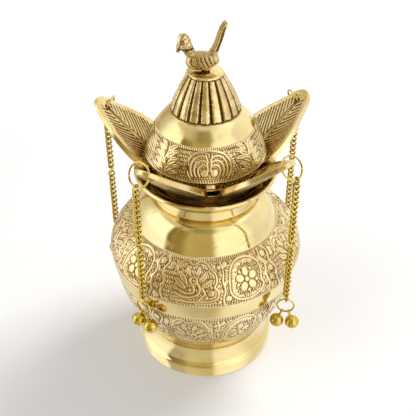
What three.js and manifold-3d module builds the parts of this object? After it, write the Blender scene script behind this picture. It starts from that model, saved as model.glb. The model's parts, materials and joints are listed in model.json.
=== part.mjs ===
// A brass kalash: a footed water pot with a crown of five mango leaves in its
// mouth, a metal coconut with a bird finial on the leaves, and a bell chain from
// each leaf. Millimetres, +Z up, origin on the pot's axis where the foot stands.
import * as THREE from "three";
import { mergeVertices } from "three/addons/utils/BufferGeometryUtils.js";
import Module from "manifold-3d";

const wasm = await Module();
wasm.setup();

// Walls and clearances
const POT_WALL = 1.6;
const COCONUT_WALL = 1.5;
const SEAT_GAP = 0.3;
const LINK_GAP = 0.3;

// Foot ring
const FOOT_RADIUS = 49;
const FOOT_RIM_RADIUS = 48.4;
const FOOT_RIM_HEIGHT = 7.9;
const FOOT_HEIGHT = 22.4;
const WAIST_RADIUS = 44.1;
const FOOT_WALL = 2.4;

// Lower shell of the pot, from the waist up to the belly seam
const PLAIN_RING_HEIGHT = 11;
const PLAIN_RING_RADIUS = 48.4;
const LOWER_BAND_HEIGHT = 38.9;
const LOWER_BAND_SWELL = 0.68;
const BELLY_BAND_HEIGHT = 12.9;
const BELLY_BAND_STEP = 0.4;
const BELLY_BAND_TAPER = 2.5;
const BELLY_RADIUS = 65;
const BASE_DISH_DEPTH = 4;

// Upper shell of the pot, from the belly seam up to the neck
const BELLY_BULGE = 0.3;
const UPPER_BAND_HEIGHT = 26.8;
const SHOULDER_RADIUS = 47.4;
const SHOULDER_HEIGHT = 17.5;
const SHOULDER_BULGE = 1.8;
const NECK_FOOT_RADIUS = 36;

// Neck collar and lip
const NECK_RADIUS = 33.2;
const NECK_HEIGHT = 17.3;
const LIP_RADIUS = 45.8;
const LIP_THICKNESS = 2.8;
const THROAT_THICKENING = 0.6;

// Crown of leaves: a cast ring with five cast leaves on one 45 degree cone
const CROWN_RING_RADIUS = 33;
const CROWN_RING_FOOT_RADIUS = 31.7;
const CROWN_RING_THICKNESS = 4.5;
const CROWN_RING_HEIGHT = 11;
const LEAF_AZIMUTHS = [24, 94.5, 165, 241.5, 311.5];
const HOLE_BEYOND_BELLY = 0.25;
const LEAF_SINK = 2.6;
const LEAF_BASE_RADIUS = 30.9;
const LEAF_BASE_THICKNESS = 4.6;
const LEAF_TIP_THICKNESS = 3.2;
const LEAF_HEEL_DROP = 3.5;
const LEAF_HALF_WIDTHS = [17.5, 20.8, 22.8, 22.2, 20.4, 17.2, 12.6, 8.2, 2.4];
const LEAF_HOLE_DIAMETER = 4.4;
const LEAF_HOLE_FROM_TIP = 9;
const VEIN_PITCH = 3.9;
const VEIN_DEPTH = 0.6;
const VEIN_HALF_WIDTH = 0.5;
const VEIN_MARGIN = 2.6;
const VEIN_SLANT = 1.3;
const MIDRIB_HALF_WIDTH = 1.1;
const VEIN_START = 2.6;

// Coconut
const COLLAR_RADIUS = 34;
const COLLAR_HEIGHT = 5.6;
const COCONUT_RADIUS = 38.4;
const COCONUT_BAND_HEIGHT = 23.5;
const COCONUT_BAND_TOP_RADIUS = 30.4;
const DOME_HEIGHT = 9.5;
const CAP_RADIUS = 22;
const CAP_SEAT_WIDTH = 2.6;

// Fluted cap, top disc, screw and bird
const CAP_HEIGHT = 23.5;
const CAP_TOP_RADIUS = 11.2;
const CAP_BULGE = 0.9;
const CAP_WALL = 2;
const FLUTES = 18;
const FLUTE_DEPTH = 0.8;
const DISC_RADIUS = 10.9;
const DISC_THICKNESS = 1.8;
const SCREW_RADIUS = 2;
const SCREW_HEAD_RADIUS = 4;
const SCREW_HEAD_HEIGHT = 2.5;
const SCREW_GRIP = 3.4;
const BIRD_FOOT_RADIUS = 4;
const BIRD_LENGTH = 18.9;
const BIRD_WIDTH = 11;
const BIRD_BODY_RISE = 7.2;
const BIRD_HEAD_HEIGHT = 23.4;
const BEAK_DROP = 12;
const TAIL_HEIGHT = 30.9;

// Chains, rings and bells
const RING_WIRE = 1;
const TOP_RING_RADIUS = 7.3;
const LINK_WIRE = 1;
const LINK_LENGTH = 6;
const LINK_WIDTH = 4.4;
const CHAIN_THICKNESS = 2;
const CHAIN_LENGTHS = [90, 90, 90, 91, 97];
const CHARM_RING_RADIUS = 5.5;
const BELL_RADIUS = 4.7;
const BELL_WALL = 0.6;
const BELL_SLOT_WIDTH = 1.2;
const BELL_EYE_WIRE = 0.8;
const BELL_EYE_WIDTH = 3.6;
const BELL_EYE_LENGTH = 7;
const BELL_EYE_ANGLE = 22;
const BELL_SPACING = 10.2;
const PELLET_RADIUS = 1.5;

// How each leaf's ring lies, in degrees: it passes over the edge on one side,
// swings towards the leaf's root, leans outwards at its foot and turns in its
// hole; its chain twists below the middle.
const RING_PLACES = [
  { side: 1, swing: 0, lean: 20, turn: 19, twist: 0 },
  { side: -1, swing: 0, lean: 20, turn: 19, twist: 0 },
  { side: -1, swing: 0, lean: 20, turn: 19, twist: 0 },
  { side: -1, swing: 10, lean: 27, turn: 14, twist: 0 },
  { side: 1, swing: 0, lean: 40, turn: 19, twist: -50 },
];

// How finely round shapes are cut, and the size of bodies that only cut others
const POT_SEGMENTS = 32;
const CROWN_SEGMENTS = 60;
const CAP_HOLLOW_SEGMENTS = 24;
const SMALL_SEGMENTS = 12;
const DRILL_LENGTH = 40;
const CUTTER_SIZE = 200;

// Finishes
const POLISHED = { color: 0xd9b86a, roughness: 0.18, metalness: 1 };
const EMBOSSED = { color: 0xb89a5e, roughness: 0.4, metalness: 1 };
const CAST = { color: 0xc49a45, roughness: 0.38, metalness: 1 };
const GILT_WIRE = { color: 0xc8961e, roughness: 0.28, metalness: 1 };
const STEEL = { color: 0x8c8c8c, roughness: 0.4, metalness: 1 };

const deg = THREE.MathUtils.degToRad;
const QUARTER_TURN = 90;

// Six times the signed volume of a triangle list, to tell inside from outside.
function signedVolume(positions, corners) {
  const [a, b, c] = [new THREE.Vector3(), new THREE.Vector3(), new THREE.Vector3()];
  let sum = 0;
  for (let i = 0; i < corners.length; i += 3) {
    a.fromArray(positions, 3 * corners[i]);
    b.fromArray(positions, 3 * corners[i + 1]);
    c.fromArray(positions, 3 * corners[i + 2]);
    sum += a.dot(b.cross(c));
  }
  return sum;
}

// A closed three.js geometry as a solid that can be cut and joined.
function solidOf(geometry) {
  const plain = geometry.index ? geometry.toNonIndexed() : geometry.clone();
  plain.deleteAttribute("normal");
  plain.deleteAttribute("uv");
  const merged = mergeVertices(plain, 1e-4);
  const positions = merged.attributes.position.array;
  const corners = [];
  for (let i = 0; i < merged.index.count; i += 3) {
    const [a, b, c] = [0, 1, 2].map((k) => merged.index.getX(i + k));
    if (a !== b && b !== c && c !== a) corners.push(a, b, c);
  }
  if (signedVolume(positions, corners) < 0) corners.reverse();
  const mesh = new wasm.Mesh({
    numProp: 3,
    vertProperties: new Float32Array(positions),
    triVerts: new Uint32Array(corners),
  });
  return new wasm.Manifold(mesh);
}

// A solid as a flat-shaded three.js geometry.
function geometryOf(solid) {
  const mesh = solid.getMesh();
  const geometry = new THREE.BufferGeometry();
  geometry.setAttribute("position", new THREE.BufferAttribute(mesh.vertProperties, 3));
  geometry.setIndex(new THREE.BufferAttribute(mesh.triVerts, 1));
  const faceted = geometry.toNonIndexed();
  faceted.computeVertexNormals();
  return faceted;
}

// A solid of revolution about Z from a profile of [radius, height] points that
// starts and ends on the axis or closes on itself.
function revolve(profile, segments = POT_SEGMENTS) {
  const points = profile.map(([radius, height]) => new THREE.Vector2(radius, height));
  return solidOf(new THREE.LatheGeometry(points, segments).rotateX(Math.PI / 2));
}

// A closed skin over rings of points, all of one length, with its ends capped.
function loft(rings) {
  const count = rings[0].length;
  const positions = rings.flat(2);
  const corners = [];
  const middle = (ring) =>
    [0, 1, 2].map((axis) => ring.reduce((sum, point) => sum + point[axis], 0) / count);
  rings.slice(1).forEach((_, row) => {
    for (let i = 0; i < count; i++) {
      const next = (i + 1) % count;
      const [a, b] = [row * count + i, row * count + next];
      corners.push(a, b, a + count, b, b + count, a + count);
    }
  });
  const [first, last] = [0, (rings.length - 1) * count];
  const [low, high] = [rings.length * count, rings.length * count + 1];
  positions.push(...middle(rings[0]), ...middle(rings[rings.length - 1]));
  for (let i = 0; i < count; i++) {
    const next = (i + 1) % count;
    corners.push(first + next, first + i, low, last + i, last + next, high);
  }
  const geometry = new THREE.BufferGeometry();
  geometry.setAttribute("position", new THREE.Float32BufferAttribute(positions, 3));
  geometry.setIndex(corners);
  return solidOf(geometry);
}

// A cylinder along Z, centred on the origin, that bores a hole.
function drillBody(radius, length = DRILL_LENGTH) {
  return new THREE.CylinderGeometry(radius, radius, length, SMALL_SEGMENTS).rotateX(Math.PI / 2);
}

// A torus of wire round the Y axis, centred on the origin.
function wireRing(radius, wire, steps, sides) {
  const torus = new THREE.TorusGeometry(radius, wire / 2, sides, steps);
  return solidOf(torus.rotateX(Math.PI / 2));
}

// A smooth curve of [radius, height] points through the given ones.
function smooth(points, steps) {
  const curve = new THREE.SplineCurve(points.map(([x, y]) => new THREE.Vector2(x, y)));
  return curve.getPoints(steps).map((point) => [point.x, point.y]);
}

// The profile moved inwards by a wall, with its ends kept at their heights.
function inset(profile, wall) {
  return profile.map(([radius, height], i) => {
    const before = profile[Math.max(i - 1, 0)];
    const after = profile[Math.min(i + 1, profile.length - 1)];
    const [run, rise] = [after[0] - before[0], after[1] - before[1]];
    const length = Math.hypot(run, rise);
    const end = i === 0 || i === profile.length - 1;
    const inward = end ? wall / Math.max(Math.abs(rise / length), 0.5) : 0;
    return end && radius > 0
      ? [radius - inward, height]
      : [Math.max(radius - (wall * rise) / length, 0), height + (wall * run) / length];
  });
}

// A wall of even thickness from an outer profile that runs upwards.
function shell(outer, wall) {
  const inner = inset(outer, wall).reverse();
  return [...outer, ...inner, outer[0]];
}

// The height at which a rising profile reaches a radius.
function heightAtRadius(profile, radius) {
  const i = profile.findIndex((point, k) => k > 0 && point[0] >= radius);
  const [[r0, z0], [r1, z1]] = [profile[i - 1], profile[i]];
  return z0 + ((radius - r0) / (r1 - r0)) * (z1 - z0);
}

const kalash = new THREE.Group();

function addPiece(parent, name, solid, finish) {
  const mesh = new THREE.Mesh(geometryOf(solid), new THREE.MeshStandardMaterial(finish));
  mesh.name = name;
  parent.add(mesh);
  return mesh;
}

// Foot ring: a rim band, and a cove that narrows to the waist
const WAIST_HEIGHT = FOOT_HEIGHT;
const footCove = smooth(
  [
    [FOOT_RIM_RADIUS - 0.5, FOOT_RIM_HEIGHT + 0.5],
    [FOOT_RIM_RADIUS - 3, FOOT_RIM_HEIGHT + 3.6],
    [WAIST_RADIUS + 0.1, (FOOT_RIM_HEIGHT + FOOT_HEIGHT) / 2 + 2],
    [WAIST_RADIUS, FOOT_HEIGHT],
  ],
  4,
);
const footOuter = [[FOOT_RADIUS, 0], [FOOT_RIM_RADIUS, FOOT_RIM_HEIGHT], ...footCove];
addPiece(kalash, "foot_ring", revolve(shell(footOuter, FOOT_WALL)), POLISHED);

// Lower shell: a dished floor inside the foot, the plain ring, the lower
// embossed band and the plain belly band up to the seam
const LOWER_BAND_BASE = WAIST_HEIGHT + PLAIN_RING_HEIGHT;
const BELLY_BAND_BASE = LOWER_BAND_BASE + LOWER_BAND_HEIGHT;
const SEAM_HEIGHT = BELLY_BAND_BASE + BELLY_BAND_HEIGHT;
const dishRadius = WAIST_RADIUS - FOOT_WALL - SEAT_GAP;
const dish = smooth(
  [
    [0, WAIST_HEIGHT - BASE_DISH_DEPTH],
    [dishRadius * 0.55, WAIST_HEIGHT - BASE_DISH_DEPTH * 0.75],
    [dishRadius, WAIST_HEIGHT],
  ],
  4,
);
const plainRing = [
  [WAIST_RADIUS, WAIST_HEIGHT],
  [(WAIST_RADIUS + PLAIN_RING_RADIUS) / 2, WAIST_HEIGHT + PLAIN_RING_HEIGHT / 2],
];
const lowerBandTop = BELLY_RADIUS - BELLY_BAND_TAPER;
const lowerBandMiddle = THREE.MathUtils.lerp(PLAIN_RING_RADIUS, lowerBandTop, LOWER_BAND_SWELL);
const lowerBand = smooth(
  [
    [PLAIN_RING_RADIUS, LOWER_BAND_BASE],
    [lowerBandMiddle, LOWER_BAND_BASE + LOWER_BAND_HEIGHT / 2],
    [lowerBandTop, BELLY_BAND_BASE],
  ],
  5,
);
const bellyBand = [
  [lowerBandTop + BELLY_BAND_STEP, BELLY_BAND_BASE + BELLY_BAND_STEP],
  [BELLY_RADIUS, SEAM_HEIGHT],
];
const lowerOuter = [...dish, ...plainRing, ...lowerBand, ...bellyBand];
const lowerInner = inset([...dish, ...plainRing.slice(1), ...lowerBand, bellyBand[1]], POT_WALL);
addPiece(
  kalash,
  "pot_lower_shell",
  revolve([...lowerOuter, ...lowerInner.reverse()]),
  EMBOSSED,
);

// Upper shell: the upper embossed band round the belly and the plain shoulder
const BAND_TOP_HEIGHT = SEAM_HEIGHT + UPPER_BAND_HEIGHT;
const NECK_BASE_HEIGHT = BAND_TOP_HEIGHT + SHOULDER_HEIGHT;
const bandRise = (share) => SEAM_HEIGHT + UPPER_BAND_HEIGHT * share;
const bandReach = (share) => SHOULDER_RADIUS + (BELLY_RADIUS - SHOULDER_RADIUS) * share;
const upperBand = smooth(
  [
    [BELLY_RADIUS, SEAM_HEIGHT],
    [BELLY_RADIUS + BELLY_BULGE, bandRise(0.17)],
    [bandReach(0.88), bandRise(0.45)],
    [bandReach(0.52), bandRise(0.77)],
    [SHOULDER_RADIUS, BAND_TOP_HEIGHT],
  ],
  7,
);
const shoulder = smooth(
  [
    [SHOULDER_RADIUS, BAND_TOP_HEIGHT],
    [
      (SHOULDER_RADIUS + NECK_FOOT_RADIUS) / 2 + SHOULDER_BULGE,
      BAND_TOP_HEIGHT + SHOULDER_HEIGHT / 2 + SHOULDER_BULGE,
    ],
    [NECK_FOOT_RADIUS, NECK_BASE_HEIGHT],
  ],
  4,
);
const upperOuter = [...upperBand, ...shoulder.slice(1)];
addPiece(kalash, "pot_upper_shell", revolve(shell(upperOuter, POT_WALL)), EMBOSSED);

// Neck collar: a fillet, a straight throat, a flare and the rounded lip
const LIP_HEIGHT = NECK_BASE_HEIGHT + NECK_HEIGHT;
const MOUTH_HEIGHT = LIP_HEIGHT + LIP_THICKNESS;
const flare = smooth(
  [
    [NECK_RADIUS, NECK_BASE_HEIGHT + 1.6],
    [NECK_RADIUS + 0.2, NECK_BASE_HEIGHT + NECK_HEIGHT * 0.35],
    [NECK_RADIUS + 3.4, NECK_BASE_HEIGHT + NECK_HEIGHT * 0.72],
    [LIP_RADIUS - 3.4, LIP_HEIGHT - 1.4],
    [LIP_RADIUS, LIP_HEIGHT],
  ],
  7,
);
const lip = [
  [LIP_RADIUS + 0.5, LIP_HEIGHT + LIP_THICKNESS / 2],
  [LIP_RADIUS - 0.1, MOUTH_HEIGHT],
];
const throatWall = flare.slice(0, -1).map(([radius, height], i, list) => {
  const share = i / (list.length - 1);
  return [radius - POT_WALL - share * THROAT_THICKENING, height + share * LIP_THICKNESS * 0.9];
});
const throat = [[NECK_RADIUS - POT_WALL, NECK_BASE_HEIGHT], ...throatWall];
const neckProfile = [
  [NECK_FOOT_RADIUS, NECK_BASE_HEIGHT],
  ...flare,
  ...lip,
  ...throat.slice().reverse(),
  [NECK_FOOT_RADIUS, NECK_BASE_HEIGHT],
];
addPiece(kalash, "neck_collar", revolve(neckProfile), POLISHED);

// Crown ring: it tapers to a lower edge that rests where the flaring throat
// reaches that edge's radius
const CROWN_BASE = heightAtRadius(throat, CROWN_RING_FOOT_RADIUS + SEAT_GAP);
const CROWN_TOP = CROWN_BASE + CROWN_RING_HEIGHT;
const crownBore = CROWN_RING_RADIUS - CROWN_RING_THICKNESS;
const crownRing = revolve(
  [
    [crownBore, CROWN_BASE],
    [CROWN_RING_FOOT_RADIUS, CROWN_BASE],
    [CROWN_RING_RADIUS, CROWN_TOP],
    [crownBore, CROWN_TOP],
    [crownBore, CROWN_BASE],
  ],
  CROWN_SEGMENTS,
);
const crown = new THREE.Group();
kalash.add(crown);
addPiece(crown, "crown_ring", crownRing, CAST);

// Leaves: each is a plate on one cone about the axis, standing on the crown
// ring's top with its heel outside the ring, and long enough for its chain to
// hang clear of the belly
const CONE_RISE = 1;
const CONE_BASE_HEIGHT = CROWN_TOP - LEAF_SINK;
const SLOPE = Math.atan(CONE_RISE);
const coneHeight = (radius) => CONE_BASE_HEIGHT + (radius - LEAF_BASE_RADIUS) * CONE_RISE;
const holeRadius = BELLY_RADIUS + BELLY_BULGE + HOLE_BEYOND_BELLY;
const holeHeight = coneHeight(holeRadius);
const leafLength = (holeRadius - LEAF_BASE_RADIUS) / Math.cos(SLOPE) + LEAF_HOLE_FROM_TIP;
const leafWidthCurve = new THREE.SplineCurve(
  LEAF_HALF_WIDTHS.map((half, i) => new THREE.Vector2(i, half)),
);
const leafRows = 9;
const leafColumns = 4;
const leafThickness = (share) =>
  THREE.MathUtils.lerp(LEAF_BASE_THICKNESS, LEAF_TIP_THICKNESS, share);

// A point of the leaf: share runs from base to tip, across is millimetres from
// the midrib, side is -1 on the outer face and 1 on the inner one, and lift is
// millimetres above that face.
function leafPoint(share, across, side, lift = 0) {
  const run = leafLength * share;
  const half = (leafThickness(share) / 2 + lift) * side;
  const middle = LEAF_BASE_RADIUS + run * Math.cos(SLOPE);
  const radius = middle - half * Math.sin(SLOPE);
  const angle = across / middle;
  const height = coneHeight(middle) + half * Math.cos(SLOPE);
  return [radius * Math.cos(angle), radius * Math.sin(angle), height];
}

function leafRing(row) {
  const share = -0.12 + (1.12 * row) / leafRows;
  const reach = leafWidthCurve.getPoint(Math.max(share, 0)).y;
  const steps = Array.from({ length: leafColumns + 1 }, (_, i) => (2 * i) / leafColumns - 1);
  const inner = steps.map((step) => leafPoint(share, step * reach, 1));
  const outer = steps.map((step) => leafPoint(share, step * reach, -1)).reverse();
  return [...inner, ...outer];
}

// A groove in the inner face, of V section, along a line of [share, across].
function veinCutter(line) {
  const above = 1.5 * VEIN_DEPTH;
  const reach = VEIN_HALF_WIDTH * (1 + above / VEIN_DEPTH);
  const rings = line.map(([share, across]) => [
    leafPoint(share, across - reach, 1, above),
    leafPoint(share, across + reach, 1, above),
    leafPoint(share, across, 1, -VEIN_DEPTH),
  ]);
  return loft(rings);
}

// Where a slanted vein that starts at a distance from the root lies, as [share,
// across], when it is a number of millimetres from the midrib.
const veinPlace = (start, across) => [
  (start + VEIN_SLANT * (across - VEIN_START)) / leafLength,
  across,
];

// How far from the midrib such a vein runs before it meets the plain margin.
function veinReach(start) {
  let reach = VEIN_START;
  for (let step = 0; step < LEAF_HALF_WIDTHS[2]; step += 0.5) {
    const [share, across] = veinPlace(start, VEIN_START + step);
    if (across < leafWidthCurve.getPoint(Math.min(share, 1)).y - VEIN_MARGIN) reach = across;
  }
  return reach;
}

// The grooves of one leaf: one on each side of the midrib, and slanted ones
// from there to the margin.
function veinCutters() {
  const lastVein = leafLength - LEAF_HOLE_FROM_TIP - VEIN_START;
  const cutters = [];
  for (const side of [-1, 1]) {
    const mirror = ([share, across]) => [share, side * across];
    const rib = [0, 0.5, 1].map((part) => [(part * lastVein) / leafLength, MIDRIB_HALF_WIDTH]);
    cutters.push(veinCutter(rib.map(mirror)));
    for (let start = 0; start < lastVein - VEIN_PITCH; start += VEIN_PITCH) {
      const reach = veinReach(start);
      const middle = (VEIN_START + reach) / 2;
      const vein = [VEIN_START, middle, reach].map((across) => veinPlace(start, across));
      if (reach > 2 * VEIN_START) cutters.push(veinCutter(vein.map(mirror)));
    }
  }
  return cutters;
}

const heelFloor = CROWN_TOP - LEAF_HEEL_DROP;

function leafSolid() {
  const rings = Array.from({ length: leafRows + 1 }, (_, row) => leafRing(row));
  const below = new THREE.BoxGeometry(CUTTER_SIZE, CUTTER_SIZE, CUTTER_SIZE);
  below.translate(0, 0, heelFloor - CUTTER_SIZE / 2);
  const ringRoom = revolve(
    [
      [0, CROWN_TOP - CUTTER_SIZE],
      [CROWN_RING_RADIUS + SEAT_GAP, CROWN_TOP - CUTTER_SIZE],
      [CROWN_RING_RADIUS + SEAT_GAP, CROWN_TOP],
      [0, CROWN_TOP],
    ],
    CROWN_SEGMENTS,
  );
  const drill = drillBody(LEAF_HOLE_DIAMETER / 2)
    .rotateY(-SLOPE)
    .translate(holeRadius, 0, holeHeight);
  const cutters = [solidOf(below), ringRoom, solidOf(drill), ...veinCutters()];
  return cutters.reduce((leaf, cutter) => leaf.subtract(cutter), loft(rings));
}

const oneLeaf = leafSolid();
LEAF_AZIMUTHS.forEach((azimuth, i) => {
  addPiece(crown, `leaf_${i + 1}`, oneLeaf, CAST).rotation.z = deg(azimuth);
});

// Coconut shell: its collar rests on the inner faces of the five leaves
const leafShareAtCollar = (COLLAR_RADIUS - LEAF_BASE_RADIUS) / (leafLength * Math.cos(SLOPE));
const innerFaceRise = leafThickness(leafShareAtCollar) / 2 / Math.cos(SLOPE);
const COCONUT_BASE = coneHeight(COLLAR_RADIUS) + innerFaceRise + SEAT_GAP * Math.SQRT2;
const NUT_BAND_BASE = COCONUT_BASE + COLLAR_HEIGHT;
const NUT_BAND_TOP = NUT_BAND_BASE + COCONUT_BAND_HEIGHT;
const CAP_BASE = NUT_BAND_TOP + DOME_HEIGHT;
const nutRise = (share) => NUT_BAND_BASE + COCONUT_BAND_HEIGHT * share;
const nutReach = (share) => THREE.MathUtils.lerp(COCONUT_BAND_TOP_RADIUS, COCONUT_RADIUS, share);
const nutBody = smooth(
  [
    [COLLAR_RADIUS + 2, nutRise(0.03)],
    [COCONUT_RADIUS, nutRise(0.13)],
    [nutReach(0.86), nutRise(0.35)],
    [nutReach(0.59), nutRise(0.65)],
    [COCONUT_BAND_TOP_RADIUS, NUT_BAND_TOP],
    [(COCONUT_BAND_TOP_RADIUS + CAP_RADIUS) / 2 + 0.3, NUT_BAND_TOP + DOME_HEIGHT * 0.5],
    [CAP_RADIUS - 0.8, CAP_BASE],
  ],
  10,
);
const nutOuter = [[COLLAR_RADIUS, COCONUT_BASE], [COLLAR_RADIUS, NUT_BAND_BASE], ...nutBody];
const nutInner = inset(nutOuter, COCONUT_WALL);
nutInner[nutInner.length - 1] = [CAP_RADIUS - CAP_SEAT_WIDTH, CAP_BASE];
nutInner[nutInner.length - 2][1] -= 0.4;
const coconut = new THREE.Group();
kalash.add(coconut);
addPiece(
  coconut,
  "coconut_shell",
  revolve([...nutOuter, ...nutInner.reverse(), nutOuter[0]]),
  EMBOSSED,
);

// Fluted cap: a hollow cone with V grooves between flat panels
const CAP_TOP = CAP_BASE + CAP_HEIGHT;
const capRows = 3;
const panelSteps = 3;

function capRing(row) {
  const share = row / capRows;
  const bulge = CAP_BULGE * Math.sin(Math.PI * share);
  const radius = THREE.MathUtils.lerp(CAP_RADIUS, CAP_TOP_RADIUS, share) + bulge;
  const height = CAP_BASE + CAP_HEIGHT * share;
  const count = FLUTES * panelSteps;
  return Array.from({ length: count }, (_, i) => {
    const depth = i % panelSteps === 0 ? FLUTE_DEPTH : 0;
    const angle = (2 * Math.PI * i) / count;
    return [(radius - depth) * Math.cos(angle), (radius - depth) * Math.sin(angle), height];
  });
}

const capHollow = revolve(
  [
    [0, CAP_BASE - CAP_WALL],
    [CAP_RADIUS - CAP_WALL, CAP_BASE - CAP_WALL],
    [CAP_RADIUS - CAP_WALL, CAP_BASE],
    [CAP_TOP_RADIUS - CAP_WALL, CAP_TOP - CAP_WALL],
    [0, CAP_TOP - CAP_WALL],
  ],
  CAP_HOLLOW_SEGMENTS,
);
const screwHole = solidOf(drillBody(SCREW_RADIUS + SEAT_GAP).translate(0, 0, CAP_TOP));
const fluted = loft(Array.from({ length: capRows + 1 }, (_, row) => capRing(row)));
addPiece(coconut, "fluted_cap", fluted.subtract(capHollow).subtract(screwHole), CAST);

// Top disc under the bird
const DISC_TOP = CAP_TOP + DISC_THICKNESS;
const disc = revolve([
  [0, CAP_TOP],
  [DISC_RADIUS - 0.4, CAP_TOP],
  [DISC_RADIUS, CAP_TOP + DISC_THICKNESS / 2],
  [DISC_RADIUS - 0.5, DISC_TOP],
  [0, DISC_TOP],
]);
addPiece(coconut, "top_disc", disc.subtract(screwHole), POLISHED);

// Screw from inside the cap up into the bird's foot
const screwTop = DISC_TOP + SCREW_GRIP;
const screwSeat = CAP_TOP - CAP_WALL;
const screw = revolve(
  [
    [0, screwSeat - SCREW_HEAD_HEIGHT],
    [SCREW_HEAD_RADIUS, screwSeat - SCREW_HEAD_HEIGHT],
    [SCREW_HEAD_RADIUS, screwSeat],
    [SCREW_RADIUS, screwSeat],
    [SCREW_RADIUS, screwTop],
    [0, screwTop],
  ],
  SMALL_SEGMENTS,
);
addPiece(coconut, "finial_screw", screw, STEEL);

// Bird finial: a waisted foot, a body lofted from breast to rump, a neck and
// head that face -X with a lowered beak, and a flat tail that rises at the back
function ovalRing([x, y, z], [alongX, alongZ], width, height, sides = 10) {
  return Array.from({ length: sides }, (_, i) => {
    const angle = (2 * Math.PI * i) / sides;
    const rise = (height / 2) * Math.sin(angle);
    return [x - alongZ * rise, y + (width / 2) * Math.cos(angle), z + alongX * rise];
  });
}

// A limb lofted along a path of [x, z, width, height] stations in the XZ plane.
function limb(stations) {
  const rings = stations.map(([x, z, width, height], i) => {
    const before = stations[Math.max(i - 1, 0)];
    const after = stations[Math.min(i + 1, stations.length - 1)];
    const [dx, dz] = [after[0] - before[0], after[1] - before[1]];
    const length = Math.hypot(dx, dz);
    return ovalRing([x, 0, z], [dx / length, dz / length], width, height);
  });
  return loft(rings);
}

const bodyMiddle = DISC_TOP + BIRD_BODY_RISE;
const breast = -BIRD_LENGTH * 0.6;
const rump = BIRD_LENGTH * 0.4;
const bodyForm = limb([
  [breast, bodyMiddle + 2, 3, 3],
  [breast + 1.2, bodyMiddle + 1.1, 7, 7.2],
  [breast + 4.2, bodyMiddle - 0.2, BIRD_WIDTH * 0.92, 9.8],
  [breast + 8.6, bodyMiddle - 0.5, BIRD_WIDTH, 10],
  [breast + 13, bodyMiddle, BIRD_WIDTH * 0.9, 8.8],
  [rump - 2, bodyMiddle + 1, 7, 6.4],
  [rump, bodyMiddle + 2, 3, 3],
]);
const headTop = DISC_TOP + BIRD_HEAD_HEIGHT;
const neckForm = limb([
  [breast + 4.3, bodyMiddle + 0.8, 7, 6.4],
  [breast + 2.2, bodyMiddle + 5, 5.6, 5.2],
  [breast + 0.2, bodyMiddle + 8.6, 5.4, 7.2],
  [breast - 1.3, headTop - 4, 5.4, 6.8],
  [breast - 1.7, headTop - 1.6, 4.2, 5],
  [breast - 1.6, headTop, 1.6, 2],
]);
const beakForm = limb([
  [breast - 2.4, headTop - BEAK_DROP * 0.48, 4.6, 5],
  [breast - 4, headTop - BEAK_DROP * 0.72, 3.4, 3.4],
  [breast - 4.8, headTop - BEAK_DROP * 0.9, 2, 2],
  [breast - 5.2, headTop - BEAK_DROP, 0.8, 0.9],
]);
const tailTop = DISC_TOP + TAIL_HEIGHT;
const tailRise = (share) => THREE.MathUtils.lerp(bodyMiddle, tailTop, share);
const tailForm = limb([
  [rump - 5, tailRise(0.08), 6, 5],
  [rump - 3.1, tailRise(0.2), 4.4, 4.2],
  [rump - 1.4, tailRise(0.36), 3.4, 3],
  [rump + 0.4, tailRise(0.58), 3.6, 3],
  [rump + 1.9, tailRise(0.8), 4.4, 3.4],
  [rump + 3.3, tailRise(0.94), 3.8, 2.8],
  [rump + 3.8, tailTop, 1.6, 1.4],
]);
const footForm = revolve(
  [
    [0, DISC_TOP],
    [BIRD_FOOT_RADIUS, DISC_TOP],
    [BIRD_FOOT_RADIUS - 0.6, DISC_TOP + 1.2],
    [BIRD_FOOT_RADIUS - 0.2, DISC_TOP + 3.2],
    [0, DISC_TOP + 5.4],
  ],
  SMALL_SEGMENTS,
);
const screwRoom = solidOf(
  drillBody(SCREW_RADIUS + SEAT_GAP, 2 * (SCREW_GRIP + SEAT_GAP)).translate(0, 0, DISC_TOP),
);
const bird = [neckForm, beakForm, tailForm, footForm].reduce((all, form) => all.add(form), bodyForm);
addPiece(coconut, "bird_finial", bird.subtract(screwRoom), CAST);

// How far the centre of a wire loop's top arc lies above the centre of the wire
// that it hangs on, with a small gap between the two.
const riseOver = (wire) => (RING_WIRE + wire) / 2 + LINK_GAP;

// An oval eye of wire in the XZ plane that hangs on a wire through the origin.
// Its width and length are measured over the wire.
function ovalEye(width, length, wire, steps = 8) {
  const arc = (width - wire) / 2;
  const straight = length - width;
  const torus = new THREE.TorusGeometry(arc, wire / 2, 4, steps);
  const places = torus.attributes.position;
  for (let i = 0; i < places.count; i++) {
    if (places.getY(i) < -0.01) places.setY(i, places.getY(i) - straight);
  }
  return solidOf(torus.rotateX(Math.PI / 2).translate(0, 0, riseOver(wire) - arc));
}

const link = ovalEye(LINK_WIDTH, LINK_LENGTH, LINK_WIRE);
const linkDrop = LINK_LENGTH - LINK_WIRE - riseOver(LINK_WIRE);
const linkPitch = LINK_LENGTH - 2 * LINK_WIRE;

// A run of chain: links closed up into one bar that swells at each link and
// narrows between links, from top height to bottom height.
function chainRun(top, bottom) {
  const count = Math.max(Math.round((top - bottom) / linkPitch), 1);
  const step = (top - bottom) / count / 2;
  const rings = [];
  for (let i = 0; i <= 2 * count; i++) {
    const swell = i % 2 === 1 ? 1 : 0.55;
    const [x, y] = [(CHAIN_THICKNESS / 2) * swell, (LINK_WIDTH / 2) * swell];
    const z = top - i * step;
    rings.push([
      [x, 0, z],
      [0, y, z],
      [-x, 0, z],
      [0, -y, z],
    ]);
  }
  return loft(rings);
}

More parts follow.
